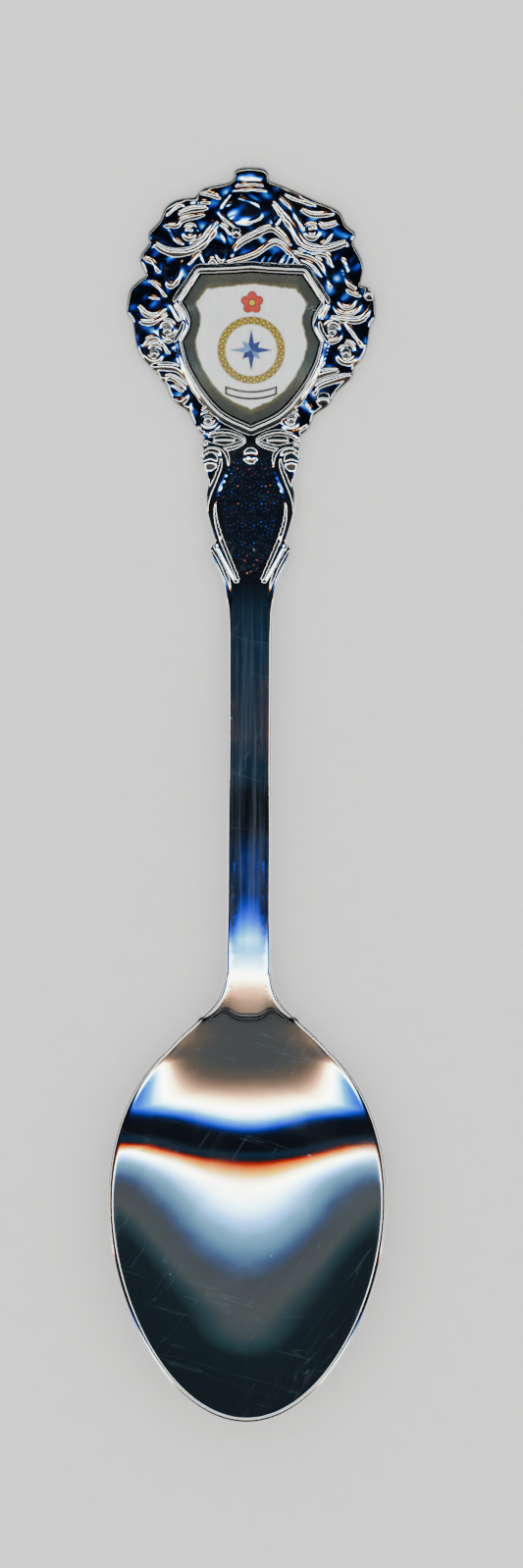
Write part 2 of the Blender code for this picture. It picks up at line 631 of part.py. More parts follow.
def compass_loop():
    """Eight points: four long ones to the quarters, four short ones between."""
    long_point, notch, short_point = COMPASS_RADII
    radii = [long_point, notch, short_point, notch] * 4
    angle = 2 * math.pi * np.arange(16) / 16
    return np.array(RING_CENTRE) + np.stack([radii * np.cos(angle), radii * np.sin(angle)], axis=1)


def rosette_loop():
    """Five round petals."""
    angle = 2 * math.pi * np.arange(60) / 60
    r = ROSETTE_RADIUS + ROSETTE_LOBE * np.abs(np.cos(2.5 * (angle - math.pi / 2)))
    return np.array(ROSETTE_CENTRE) + np.stack([r * np.cos(angle), r * np.sin(angle)], axis=1)


def ribbon_loop(shrink):
    """Outline of the hanging ribbon, smaller all round by shrink."""
    x = np.linspace(-1, 1, 15) * (RIBBON_HALF_LENGTH - shrink)
    middle = RIBBON_Y + RIBBON_SAG * x * x
    half = RIBBON_HALF_HEIGHT - shrink
    lower = np.stack([x, middle - half], axis=1)
    upper = np.stack([x, middle + half], axis=1)
    return np.vstack([lower, upper[::-1]])


def badge(pocket):
    layer("badge_adhesive", [inset(pocket, ADHESIVE_INSET)], ADHESIVE_Z, "adhesive")
    layer("badge_plate", [symmetric_loop(PLATE_RUNS, 0.8)], PLATE_Z, "white_plate")
    ring = [circle(RING_CENTRE, RING_RADII[1], 48), circle(RING_CENTRE, RING_RADII[0], 40)]
    layer("badge_ring", ring, INK_Z, "yellow_ink")
    layer("badge_compass", [compass_loop()], INK_Z, "blue_ink")
    layer("badge_rosette", [rosette_loop()], INK_Z, "red_ink")
    layer("badge_ribbon", [ribbon_loop(0.0), ribbon_loop(RIBBON_LINE)], INK_Z, "black_ink")
    dome(pocket)


def clear_scene():
    for old in list(bpy.data.objects):
        bpy.data.objects.remove(old, do_unlink=True)


def main():
    clear_scene()
    outline = spoon_outline()
    pocket = symmetric_loop(SHIELD_RUNS, 0.8)
    spoon_body(outline, pocket)
    badge(pocket)


main()
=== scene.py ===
"""Looks of the souvenir spoon: fine struck relief, plated metal, printed and domed badge.

The spoon's lengths are in millimetres, and piece() turns them into metres. The materials' textures,
the floor, the light and the camera are in metres. The bowl is towards -Y, the head towards +Y, and
the face looks up.
"""
import math

import bpy
import numpy as np
from mathutils.geometry import delaunay_2d_cdt
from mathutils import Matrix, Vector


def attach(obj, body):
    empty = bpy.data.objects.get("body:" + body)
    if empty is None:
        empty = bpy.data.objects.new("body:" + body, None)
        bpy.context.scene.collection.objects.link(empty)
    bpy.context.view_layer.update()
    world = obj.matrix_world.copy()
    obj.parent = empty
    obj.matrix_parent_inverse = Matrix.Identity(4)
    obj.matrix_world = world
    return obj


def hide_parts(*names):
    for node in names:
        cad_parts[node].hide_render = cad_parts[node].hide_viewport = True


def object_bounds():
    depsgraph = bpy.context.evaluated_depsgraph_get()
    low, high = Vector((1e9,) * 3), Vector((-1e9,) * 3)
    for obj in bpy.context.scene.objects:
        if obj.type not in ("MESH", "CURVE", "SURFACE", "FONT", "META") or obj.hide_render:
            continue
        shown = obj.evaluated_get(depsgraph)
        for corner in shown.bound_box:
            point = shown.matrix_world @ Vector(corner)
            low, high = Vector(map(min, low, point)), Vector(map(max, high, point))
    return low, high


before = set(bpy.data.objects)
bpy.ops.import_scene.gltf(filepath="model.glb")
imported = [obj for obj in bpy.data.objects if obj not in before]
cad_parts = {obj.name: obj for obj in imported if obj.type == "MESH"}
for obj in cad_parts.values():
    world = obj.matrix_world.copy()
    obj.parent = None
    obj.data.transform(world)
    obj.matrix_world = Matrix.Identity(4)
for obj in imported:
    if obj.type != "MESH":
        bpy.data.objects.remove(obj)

CAD_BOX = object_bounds()
MM = 0.001

# --- the spoon's dimensions

BOWL_CENTRE_Y = -36.75
BOWL_HALF_LENGTH = 17.5
BOWL_HALF_WIDTH = 12.03
BOWL_EGG = 0.11  # share by which the bowl widens towards its heel and narrows to its tip
BOWL_END_Y = -22.0
BOWL_SECTION_POWER = 2.05  # power of the curve across the bowl
HEEL_FLARE = 1.07  # how fast the heel's sides spread into the bowl
HEEL_BLEND = 4.8  # length over which the bowl's width turns into the heel's
BOWL_WALL = 0.9
RIM_ROUND = 0.58
RIM_ROUND_BELOW = 0.24

STEM_TOP_Y = 14.0
STEM_ROUND = 0.35
STEM_CROWN = 0.30
FLUTE_X = 1.25
FLUTE_HALF_WIDTH = 0.30
FLUTE_DEPTH = 0.035
STEM_LINE_HALF_WIDTH = 0.25
STEM_LINE_RISE = 0.015
HEAD_FLAT_Y = 34.0
HEAD_GROUND_Z = 1.15
HEAD_ROUND = 0.28

TONGUE_RISE = 0.035
TONGUE_Y = -19.15
SHOULDER_X = 1.95
SHOULDER_Y = -18.55
SHOULDER_SPREAD = 0.7
HEEL_END_DROP = 0.15  # how far the heel's line falls back at its ends
STEP_RUN = 0.45
# Painted shade along the heel's step line: reach, fade, drop below the line, half its length.
HEEL_SHADE = (0.304, 0.16, 0.05, 4.3)

POCKET_FLOOR_Z = 0.50
BEZEL_HALF_WIDTH = 0.38
BEZEL_RISE = 0.168
ADHESIVE_Z = (0.53, 0.63)
PLATE_Z = (0.66, 0.80)
INK_Z = (0.82, 0.88)
DOME_SKIRT_Z = 0.67
DOME_UNDER_Z = 0.91
DOME_EDGE_Z = 1.08
DOME_CROWN = 0.34
DOME_CROWN_REACH = 5.0  # how far in from its edge the dome is at its full height
ADHESIVE_INSET = 0.12
DOME_INSET = 0.10
DOME_SKIRT_WIDTH = 0.62
DOME_SKIRT_SLOPE = 0.08

RING_CENTRE = (0.0, 38.4)
RING_RADII = (2.25, 2.9)
RING_BEADS = 30
BEAD_RADII = (0.26, 0.20)  # across the ring and along it
BEAD_RISE = 0.025
BEAD_LINE_RADIUS = 0.19
COMPASS_RADII = (1.85, 0.62, 1.1)  # long points, notches, short points
ROSETTE_CENTRE = (0.05, 42.5)
ROSETTE_RADIUS = 0.72
ROSETTE_LOBE = 0.28
RIBBON_HALF_LENGTH = 2.25
RIBBON_HALF_HEIGHT = 0.38
RIBBON_LINE = 0.18
RIBBON_Y = 34.5
RIBBON_SAG = 0.09

HEEL_RUN = [(7.07, -22.0), (6.15, -21.0), (5.15, -20.05), (3.95, -19.0), (2.95, -17.9),
            (2.4, -16.8), (2.1, -15.5), (1.97, -13.5), (1.97, 0.0), (2.0, STEM_TOP_Y)]
# Outlines are lists of smooth runs. Each run but the first starts at the last point of the one
# before it, and the outline has a sharp corner there.
NECK_RUNS = [
    [(2.0, STEM_TOP_Y), (2.1, 16.5), (2.35, 18.2), (3.15, 20.0), (3.6, 21.2)],
    [(3.15, 22.0)],
    [(3.6, 23.5), (4.0, 25.2), (3.75, 27.2), (4.35, 28.8), (4.3, 29.95)],
]
HEAD_RIGHT = [
    [(4.3, 29.95), (4.35, 31.0)],
    [(5.0, 31.6), (5.6, 32.8), (6.7, 33.6), (7.4, 34.7), (8.7, 36.0), (8.9, 36.8)],
    [(9.9, 38.2), (10.35, 40.5)],
    [(10.75, 41.4), (10.65, 43.2), (10.2, 43.85), (9.45, 44.1)],
    [(9.65, 45.9), (8.8, 47.75)],
    [(9.0, 48.55), (8.2, 49.3), (7.5, 50.5), (5.5, 51.4), (3.5, 52.3), (1.5, 53.1)],
    [(1.4, 53.8), (0.9, 54.15), (0.0, 54.25)],
]
HEAD_LEFT = [
    [(-4.3, 29.95), (-4.2, 31.0)],
    [(-4.75, 31.6), (-5.5, 33.0), (-6.8, 34.0), (-7.4, 35.2), (-8.5, 36.6), (-9.8, 38.2), (-10.3, 40.8)],
    [(-10.8, 41.7), (-10.6, 43.4), (-10.0, 44.2), (-9.15, 44.85)],
    [(-9.7, 46.3), (-8.9, 47.65)],
    [(-8.95, 48.5), (-8.0, 49.6), (-7.5, 50.7), (-6.5, 51.4), (-4.95, 51.65)],
    [(-4.2, 52.4), (-2.0, 52.95), (-1.6, 53.4)],
    [(-1.55, 53.9), (-0.9, 54.2), (0.0, 54.25)],
]
SHIELD_RUNS = [
    [(0.0, 45.2), (2.2, 45.05), (4.4, 44.97)],
    [(6.0, 42.55)],
    [(5.5, 41.75), (5.25, 40.9), (5.4, 40.1), (5.95, 39.1)],
    [(5.4, 37.2), (4.15, 35.0), (2.4, 33.1), (0.0, 31.9)],
]
PLATE_RUNS = [
    [(0.0, 44.2), (3.9, 43.75)],
    [(4.9, 42.4)],
    [(4.45, 41.1), (4.9, 39.0)],
    [(4.5, 37.4), (3.5, 35.6), (2.1, 34.2), (0.0, 33.2)],
]
BOWL_FLOOR = [(-54.25, 5.85), (-50.0, 4.5), (-46.0, 3.53), (-42.0, 2.68), (-38.0, 1.95),
              (-36.0, 1.63), (-34.0, 1.335), (-31.7, 1.04), (-30.7, 0.95), (-29.3, 0.91),
              (-27.0, 0.985), (-25.1, 1.13), (-24.0, 1.26), (-22.5, 1.53), (-21.5, 1.74),
              (-19.4, 2.2), (-17.0, 2.75)]
RIM_HEIGHT = [(-54.25, 5.85), (-46.0, 5.3), (-37.0, 4.62), (-28.0, 3.9), (-22.0, 3.42),
              (-17.0, 3.15), (-12.0, 3.33), (-8.0, 3.36), (-4.0, 3.38)]
STEM_HEIGHT = [(-22.0, 2.47), (-18.4, 2.865), (-16.4, 3.03), (-13.4, 3.204), (-10.4, 3.3),
               (-6.5, 3.337), (-3.0, 3.35), (0.0, 3.27), (2.0, 3.13), (8.0, 2.62), (14.0, 2.11),
               (17.0, 1.87), (20.0, 1.69), (26.0, 1.42), (30.0, 1.24), (HEAD_FLAT_Y, HEAD_GROUND_Z)]
THICKNESS = [(-54.25, BOWL_WALL), (-30.0, BOWL_WALL), (-24.0, 0.95), (-18.0, 1.45), (-12.0, 1.6),
             (0.0, 1.55), (14.0, 1.5), (26.0, 1.3), (HEAD_FLAT_Y, HEAD_GROUND_Z)]

# Where something fades in or out: (start, run), with a negative run where it fades out.
# Along Y, from the bowl to the head:
BACK_FADE = (-21.5, 5.0)  # the back turns from the bowl's into the stem's
CROWN_FADES = ((-22.0, 6.0), (30.0, -8.0))
BOWL_EDGE_FADE = (-20.0, 6.0)  # the rounding of the bowl's rim turns into the stem's
BRUSHED_FADES = ((-18.0, 6.0), (18.0, -5.0))
FLUTE_FADES = ((-14.0, 7.0), (16.5, -5.0))
TONGUE_FADE = (-12.5, -4.0)
DISH_FADE = (-7.0, -6.0)  # the stem's face turns dished towards the heel
HEAD_EDGE_FADE = (16.0, 6.0)
RELIEF_FADE = (16.0, 3.0)
PANEL_FADES = ((18.6, 0.5), (29.5, -0.5))
HEAD_FADE = (29.5, 1.5)  # the swell and the painted shade of the head
# Outwards from the middle line:
TONGUE_SIDE_FADE = (1.7, -0.5)
HEEL_END_FADE = (2.8, 0.6)

# --- the raised ornament

# Ridges are (half width, points of the ridge line). The first two tables come in mirrored pairs:
# the long S of the neck with its outer leaf, and the outlines of the drops under the shield.
PAIRED_RIDGES = [
    (0.45, [(4.15, 29.6), (3.5, 29.95), (2.7, 29.8), (2.3, 29.2), (2.3, 28.4), (2.7, 27.2),
            (3.15, 26.1), (3.4, 25.0), (3.3, 23.6), (2.85, 22.1), (2.15, 20.5), (1.2, 18.6)]),
    (0.42, [(3.5, 21.3), (2.95, 20.3), (2.4, 19.0), (2.0, 17.4), (1.85, 16.2)]),
]
PAIRED_LEAVES = [
    (0.19, [(4.25, 30.75), (3.4, 31.15), (2.3, 31.3), (1.2, 31.05), (0.55, 30.65)]),
    (0.19, [(4.25, 30.55), (3.4, 30.15), (2.3, 29.95), (1.2, 30.2), (0.55, 30.55)]),
]
RIDGES = [
    # crest and gable
    (0.17, [(-1.75, 52.6), (0.0, 52.8), (1.35, 52.6)]),
    (0.15, [(-1.7, 52.2), (0.0, 52.35), (1.3, 52.2)]),
    (0.2, [(-1.9, 51.9), (-2.8, 50.4), (-1.4, 49.0)]),
    (0.18, [(-1.2, 51.6), (0.0, 51.2), (0.7, 50.8), (0.7, 49.9), (-0.4, 49.4)]),
    (0.14, [(-2.2, 50.9), (-1.5, 51.2)]),
    (0.14, [(-1.9, 49.8), (-0.6, 50.5)]),
    (0.14, [(-1.4, 49.4), (-0.1, 50.1)]),
    (0.32, [(-1.7, 46.6), (-1.5, 47.2), (-0.9, 47.8), (0.2, 48.4), (1.65, 49.0), (2.6, 48.4),
            (3.3, 47.6)]),
    (0.25, [(-2.2, 45.95), (0.2, 46.7), (2.0, 47.8), (3.4, 46.8), (4.3, 45.8)]),
    (0.2, [(1.6, 49.9), (1.9, 49.2), (2.5, 49.9)]),
    # left scrolls and leaves of the top
    (0.36, [(-3.0, 49.3), (-3.6, 48.3), (-4.6, 47.3), (-6.0, 46.85), (-7.4, 47.0), (-8.6, 47.75)]),
    (0.2, [(-7.1, 48.9), (-6.6, 48.0), (-5.9, 47.6)]),
    (0.2, [(-3.3, 49.6), (-4.4, 48.2), (-5.3, 47.7)]),
    (0.26, [(-6.3, 50.2), (-5.2, 50.6), (-3.9, 50.7)]),
    (0.24, [(-7.6, 49.2), (-6.5, 49.2), (-6.0, 49.7), (-4.1, 50.15)]),
    (0.24, [(-7.3, 50.1), (-6.9, 50.6), (-6.3, 51.0), (-5.8, 50.95)]),
    (0.2, [(-5.3, 51.2), (-4.6, 51.25), (-3.7, 51.2)]),
    (0.25, [(-4.5, 52.0), (-3.7, 51.95), (-2.8, 51.6)]),
    # right scrolls and leaves of the top
    (0.36, [(1.9, 51.1), (2.6, 50.2), (3.4, 49.2), (4.0, 48.2), (4.6, 47.5), (5.8, 47.2),
            (7.0, 47.4), (8.5, 47.9)]),
    (0.2, [(6.9, 48.6), (6.4, 47.9), (5.8, 47.5)]),
    (0.2, [(2.4, 51.6), (3.3, 50.9), (3.9, 49.9), (4.5, 49.0), (5.0, 48.1)]),
    (0.24, [(4.3, 50.6), (5.2, 50.2), (6.3, 50.2), (7.1, 50.3)]),
    (0.22, [(5.7, 49.5), (6.3, 49.2), (7.4, 49.5)]),
    (0.22, [(2.8, 52.0), (3.6, 51.6), (4.6, 51.3), (5.6, 51.0)]),
    (0.26, [(4.1, 47.3), (5.0, 46.9), (6.2, 46.8), (6.7, 46.5), (7.0, 45.7)]),
    (0.26, [(3.5, 46.9), (5.0, 46.6), (6.0, 46.0), (6.5, 45.0), (6.8, 44.0)]),
    (0.16, [(4.2, 46.3), (5.3, 45.8), (6.1, 44.8)]),
    # beside the pocket's top corners
    (0.28, [(-7.5, 45.9), (-7.4, 44.7), (-6.95, 44.0), (-6.3, 44.8), (-6.0, 46.0)]),
    (0.2, [(-5.4, 45.9), (-4.5, 46.8), (-4.0, 45.8)]),
    (0.2, [(-3.9, 45.75), (-3.4, 46.3), (-2.9, 45.8)]),
    (0.2, [(-3.2, 47.4), (-3.0, 46.6), (-2.6, 46.15), (-2.3, 46.7), (-2.2, 47.6), (-2.6, 48.6)]),
    (0.22, [(-2.7, 49.3), (-2.2, 49.0), (-1.9, 48.5)]),
    (0.22, [(-9.3, 46.4), (-8.5, 46.0), (-8.0, 45.2)]),
    (0.2, [(7.7, 46.4), (8.2, 46.0), (8.3, 45.3)]),
    (0.22, [(7.9, 45.5), (8.4, 44.3), (9.3, 43.7)]),
    (0.2, [(8.2, 43.75), (8.8, 43.4), (9.4, 43.2)]),
    # right flank
    (0.2, [(7.5, 42.8), (7.75, 42.35), (8.2, 42.15), (8.7, 42.35), (8.95, 42.8)]),
    (0.2, [(6.95, 42.6), (7.4, 41.85), (8.2, 41.6), (9.0, 41.85), (9.5, 42.5)]),
    (0.3, [(6.9, 41.25), (8.0, 41.1), (9.3, 41.1), (10.0, 41.7), (10.3, 42.4)]),
    (0.24, [(8.1, 40.9), (8.9, 39.9), (9.7, 38.8)]),
    (0.2, [(6.0, 40.6), (6.05, 39.7), (6.5, 38.5)]),
    (0.36, [(4.8, 35.0), (5.2, 35.9), (6.2, 36.5), (7.4, 36.7)]),
    (0.34, [(5.5, 34.8), (5.8, 35.4), (7.0, 35.9), (8.5, 36.3)]),
    (0.2, [(4.75, 34.9), (4.9, 33.9), (5.4, 33.2)]),
    (0.22, [(2.7, 31.9), (3.3, 31.45), (4.2, 31.45), (4.9, 31.95)]),
    # left flank
    (0.24, [(-9.7, 42.2), (-9.0, 41.5), (-8.2, 41.4), (-7.5, 42.0)]),
    (0.15, [(-8.8, 43.0), (-8.0, 42.9)]),
    (0.26, [(-9.7, 40.9), (-8.8, 40.8), (-7.9, 41.1), (-7.3, 41.5)]),
    (0.22, [(-8.6, 44.4), (-7.9, 43.8), (-7.4, 43.1)]),
    (0.22, [(-7.0, 42.4), (-6.6, 41.7), (-6.3, 41.0)]),
    (0.2, [(-6.3, 40.6), (-6.3, 39.7), (-6.7, 38.6)]),
    (0.24, [(-9.3, 38.8), (-9.0, 39.3), (-8.2, 39.5), (-7.5, 38.9), (-7.1, 38.2)]),
    (0.36, [(-8.6, 36.9), (-7.6, 37.0), (-6.5, 36.9), (-5.7, 36.3), (-5.2, 35.4)]),
    (0.3, [(-7.9, 35.9), (-7.0, 36.1), (-6.2, 35.7), (-5.5, 35.1), (-5.6, 34.4), (-6.2, 33.95),
            (-6.8, 34.2)]),
    (0.2, [(-7.0, 35.5), (-6.5, 35.3), (-5.9, 34.9)]),
    (0.2, [(-5.05, 34.3), (-5.3, 33.6), (-5.7, 33.4)]),
    (0.22, [(-4.9, 31.9), (-4.2, 31.45), (-3.3, 31.5), (-2.7, 31.95)]),
    # under the shield
    (0.28, [(-2.5, 32.7), (-1.2, 32.0), (0.0, 31.5), (1.0, 31.85), (1.9, 32.4)]),
]
# Scrolls that curl in on themselves: (centre x, centre y, radius, start angle, turns, stud radius).
VOLUTES = [
    (6.95, 40.15, 0.95, 250.0, 1.05, 0.36),
    (8.2, 38.2, 1.0, 90.0, -1.05, 0.38),
    (3.5, 32.5, 0.95, 60.0, 1.05, 0.34),
    (-7.25, 40.15, 0.95, -70.0, -1.05, 0.36),
    (-8.35, 38.1, 0.9, 60.0, 1.05, 0.34),
    (-3.7, 32.5, 0.95, 120.0, -1.05, 0.34),
    (-5.3, 48.55, 0.62, 20.0, 1.2, None),
    (5.15, 48.7, 0.68, 160.0, -1.2, None),
]
VOLUTE_HALF_WIDTH = 0.27
VOLUTE_CLOSING = 0.5  # share of its radius that a scroll loses towards its inner end
VOLUTE_STUD_RISE = 0.189
# Domed studs: (x, y, x radius, y radius, height).
STUDS = [
    (0.0, 29.3, 0.66, 0.66, 0.099),
    (3.5, 28.8, 0.66, 0.72, 0.162),
    (-3.5, 28.8, 0.66, 0.72, 0.162),
    (2.3, 30.62, 1.0, 0.34, 0.135),
    (-2.3, 30.62, 1.0, 0.34, 0.135),
    (0.0, 53.5, 1.35, 0.62, 0.0315),
    (-0.7, 50.4, 1.5, 1.25, 0.0315),
    (10.15, 43.3, 0.42, 0.45, 0.162),
    (6.25, 34.2, 0.58, 0.50, 0.171),
    (-1.35, 48.55, 0.36, 0.36, 0.153),
]
RIDGE_WIDTH = 0.92  # share of its listed half width that a ridge of the head has
RIDGE_STEEPNESS = 0.165  # height of a ridge over its half width
NECK_STEEPNESS = 0.32
LEAF_STEEPNESS = 0.36
ROUND_CREST = 2  # power of a ridge's section: 2 is a round crest, 3 a flatter one
NECK_CREST = 3
RIDGE_TAPER = 0.55  # share of its width that a ridge loses at its ends
RIDGE_END_DROP = 0.4  # how much of that share its height loses
HATCH_HALF_WIDTH = 0.13
HATCH_LEAN = 0.45
HATCH = (6, 0.62, 45.75, 0.55, 0.9)  # ribs under the gable: count, first x, foot y, pitch, length
# The hammered panel of the neck: (y, half width) along it.
PANEL_SIDES = [(17.9, 0.0), (21.2, 1.9), (24.5, 2.6), (26.0, 2.7), (28.0, 2.1), (29.4, 1.8)]
PANEL_SIDE_RUN = 0.25
PIT_DEPTHS = (0.0095, 0.0055)
SWELL_HEIGHTS = (0.013, 0.007)
GROUND_PAINTED_SHADE = 0.65  # darkness of the painted shade on the ground between the head's ridges
PAINTED_SHADE_RELIEF = 0.04  # height above the ground at which it is gone

# --- point spacing

OUTLINE_STEP_BOWL = 0.28
OUTLINE_STEP_HEAD = 0.16
RIDGE_STEP = 0.15
BADGE_STEP = 0.3
EDGE_DEPTHS = (0.02, 0.07, 0.15, 0.25, 0.37, 0.5, 0.64)
# Even grids of points, from the bowl to the head: (half width, first y, last y, spacing).
FACE_GRIDS = [(12.0, -54.0, -19.9, 0.42), (6.0, -19.85, -18.0, 0.11), (3.5, -17.9, 16.4, 0.20),
              (11.0, 16.5, 54.2, 0.115)]
BACK_GRIDS = [(12.0, -54.0, -16.0, 0.55), (4.0, -15.8, 34.0, 0.4), (11.0, 34.5, 54.0, 1.2)]

# --- plane curves


def curve(points, step):
    """Points of a smooth curve through the given ones, about one step apart."""
    p = np.array(points, float)
    slopes = np.array([p[1] - p[0]] * 2) if len(p) == 2 else np.gradient(p, axis=0)
    out = [p[:1]]
    for a, b, da, db in zip(p[:-1], p[1:], slopes[:-1], slopes[1:]):
        n = max(1, round(float(np.hypot(*(b - a))) / step))
        t = (np.arange(1, n + 1) / n)[:, None]
        h = t * t * (3 - 2 * t)
        out.append(a + (b - a) * h + da * t * (1 - t) ** 2 - db * t * t * (1 - t))
    return np.vstack(out)


def chain(runs, step):
    """The runs' curves one after the other, without the very last point."""
    starts = [[]] + [run[-1:] for run in runs]
    return np.vstack([curve(start + run, step)[:-1] for start, run in zip(starts, runs)])


def symmetric_loop(runs, step):
    """Closed loop from the right half's runs, anticlockwise."""
    right = chain(runs, step)
    apex = np.array([runs[-1][-1]], float)
    left = right[1:][::-1] * (-1, 1)
    return np.vstack([right, apex, left])[::-1]


def bowl_egg(angle):
    """The bowl's right edge, at angles from its tip (0) towards its heel."""
    x = BOWL_HALF_WIDTH * np.sin(angle) * (1 - BOWL_EGG * np.cos(angle))
    return np.stack([x, BOWL_CENTRE_Y - BOWL_HALF_LENGTH * np.cos(angle)], axis=1)


def spoon_outline():
    """Closed outline seen from above, anticlockwise from the bowl's tip."""
    last = math.acos((BOWL_CENTRE_Y - BOWL_END_Y) / BOWL_HALF_LENGTH)
    count = round(last * BOWL_HALF_LENGTH * 0.85 / OUTLINE_STEP_BOWL)
    egg = bowl_egg(np.linspace(0, last, count, endpoint=False))
    heel = chain([HEEL_RUN], OUTLINE_STEP_BOWL)
    neck = chain(NECK_RUNS, OUTLINE_STEP_HEAD)
    shared = np.vstack([egg, heel, neck])
    right = np.vstack([shared, chain(HEAD_RIGHT, OUTLINE_STEP_HEAD)])
    left = np.vstack([shared * (-1, 1), chain(HEAD_LEFT, OUTLINE_STEP_HEAD)])
    top = np.array([HEAD_RIGHT[-1][-1]])
    return np.vstack([right, top, left[1:][::-1]])


def distance(points, path, reach=math.inf):
    """How far each point is from a path, and where along it (0 to 1) the nearest place is.
    Points further than reach are only known to be further."""
    best = np.full(len(points), 1e9)
    place = np.zeros(len(points))
    count = len(path) - 1
    order = np.argsort(points[:, 1], kind="stable")
    ys = points[order, 1]
    for i, (a, b) in enumerate(zip(path[:-1], path[1:])):
        low = np.searchsorted(ys, min(a[1], b[1]) - reach)
        high = np.searchsorted(ys, max(a[1], b[1]) + reach)
        near = order[low:high]
        d = b - a
        part = points[near]
        t = np.clip((part - a) @ d / (d @ d), 0, 1)
        gap = part - a - t[:, None] * d
        far = np.hypot(*gap.T)
        closer = far < best[near]
        best[near] = np.where(closer, far, best[near])
        place[near] = np.where(closer, (i + t) / count, place[near])
    return best, place


def edge_distance(points, loop, reach=math.inf):
    """How far each point is from a closed loop."""
    return distance(points, np.vstack([loop, loop[:1]]), reach)[0]


def inside(points, loop):
    """Which points lie inside a closed loop."""
    x, y = points[:, 0], points[:, 1]
    odd = np.zeros(len(points), bool)
    for (ax, ay), (bx, by) in zip(loop, np.roll(loop, -1, axis=0)):
        if ay == by:
            continue
        crosses = (ay > y) != (by > y)
        odd ^= crosses & (x < ax + (y - ay) * (bx - ax) / (by - ay))
    return odd


def inset(loop, depth):
    """The loop moved inwards, along the bisector at each of its points."""
    ahead = np.roll(loop, -1, axis=0) - loop
    ahead /= np.hypot(*ahead.T)[:, None]
    both = ahead + np.roll(ahead, 1, axis=0)
    both /= np.hypot(*both.T)[:, None]
    return loop + depth * np.stack([-both[:, 1], both[:, 0]], axis=1)


def ring_points(loop, depth):
    """Points of the inset loop that really are that deep inside."""
    ring = inset(loop, depth)
    kept = inside(ring, loop) & (edge_distance(ring, loop, 2.0) > 0.93 * depth)
    return ring[kept]


def grid(low, high, spacing):
    """Points of an even triangular grid in a box."""
    rows = np.arange(low[1], high[1], spacing * math.sqrt(0.75))
    columns = np.arange(low[0], high[0], spacing)
    x, y = np.meshgrid(columns, rows)
    x = x + spacing / 2 * (np.arange(len(rows)) % 2)[:, None]
    return np.stack([x.ravel(), y.ravel()], axis=1)


def clear_of(points, loop, gap):
    """The points that are further than the gap from the loop."""
    return points[edge_distance(points, loop, gap + 0.5) > gap]


def fine_points(loop, spacing):
    """An even grid of points inside a loop."""
    low, high = loop.min(axis=0), loop.max(axis=0)
    points = grid(low, high, spacing)
    return clear_of(points[inside(points, loop)], loop, spacing / 2)


# --- heights


def natural_spline(knots, at):
    """Value of the smooth cubic through (place, value) knots, flat-ended past the last ones."""
    x, y = np.array(knots, float).T
    h = np.diff(x)
    n = len(x)
    rows = np.eye(n)
    right = np.zeros(n)
    for i in range(1, n - 1):
        rows[i, i - 1:i + 2] = h[i - 1], 2 * (h[i - 1] + h[i]), h[i]
        right[i] = 6 * ((y[i + 1] - y[i]) / h[i] - (y[i] - y[i - 1]) / h[i - 1])
    rows[-1, -2:] = h[-1], 2 * h[-1]
    right[-1] = -6 * (y[-1] - y[-2]) / h[-1]
    bend = np.linalg.solve(rows, right)
    at = np.clip(at, x[0], x[-1])
    k = np.clip(np.searchsorted(x, at) - 1, 0, n - 2)
    a = (x[k + 1] - at) / h[k]
    b = 1 - a
    return (a * y[k] + b * y[k + 1]
            + ((a ** 3 - a) * bend[k] + (b ** 3 - b) * bend[k + 1]) * h[k] ** 2 / 6)


def smooth_step(t):
    t = np.clip(t, 0, 1)
    return t * t * (3 - 2 * t)


def fade(place, start, run):
    """0 before the start, 1 beyond the run; a negative run fades out instead."""
    return smooth_step((place - start) / run)


def within(place, fades):
    """The product of two fades."""
    return fade(place, *fades[0]) * fade(place, *fades[1])


def half_width(y):
    """Half the width of the bowl, heel and stem at each place along Y."""
    s = np.clip((y - BOWL_CENTRE_Y) / BOWL_HALF_LENGTH, -1, 1)
    egg = BOWL_HALF_WIDTH * np.sqrt(1 - s * s) * (1 + BOWL_EGG * s)
    heel = curve(HEEL_RUN, 0.1)
    side = np.interp(y, heel[:, 1], heel[:, 0]) + HEEL_FLARE * np.clip(BOWL_END_Y - y, 0, 2)
    return np.maximum(egg + (side - egg) * smooth_step((y - BOWL_END_Y) / HEEL_BLEND + 0.5), 0.05)


def face(x, y):
    """Heights of the bowl's hollow and of the stem's face, each as if it were everywhere."""
    u = np.clip(np.abs(x) / half_width(y), 0, 1)
    floor = natural_spline(BOWL_FLOOR, y)
    rim = natural_spline(RIM_HEIGHT, y)
    bowl = floor + (rim - floor) * u ** BOWL_SECTION_POWER
    stem = natural_spline(STEM_HEIGHT, y)
    return bowl, stem + fade(y, *DISH_FADE) * (rim - stem) * u ** 3


def heel_edge(x):
    """The wavy line across the heel where the stem's end steps down into the bowl."""
    lobe = np.exp(-((np.abs(x) - SHOULDER_X) / SHOULDER_SPREAD) ** 2)
    return TONGUE_Y + (SHOULDER_Y - TONGUE_Y) * lobe - HEEL_END_DROP * fade(np.abs(x), *HEEL_END_FADE)


def stem_share(x, y):
    """0 in the bowl, 1 on the stem, with the heel's step between them."""
    return smooth_step((y - heel_edge(x)) / STEP_RUN + 0.5)


def body_height(x, y):
    bowl, stem = face(x, y)
    return bowl + (stem - bowl) * stem_share(x, y)


def smooth_face(x, y):
    """The face without the sharp step at the heel, which the back doesn't show."""
    bowl, stem = face(x, y)
    return bowl + (stem - bowl) * fade(y, *BACK_FADE)


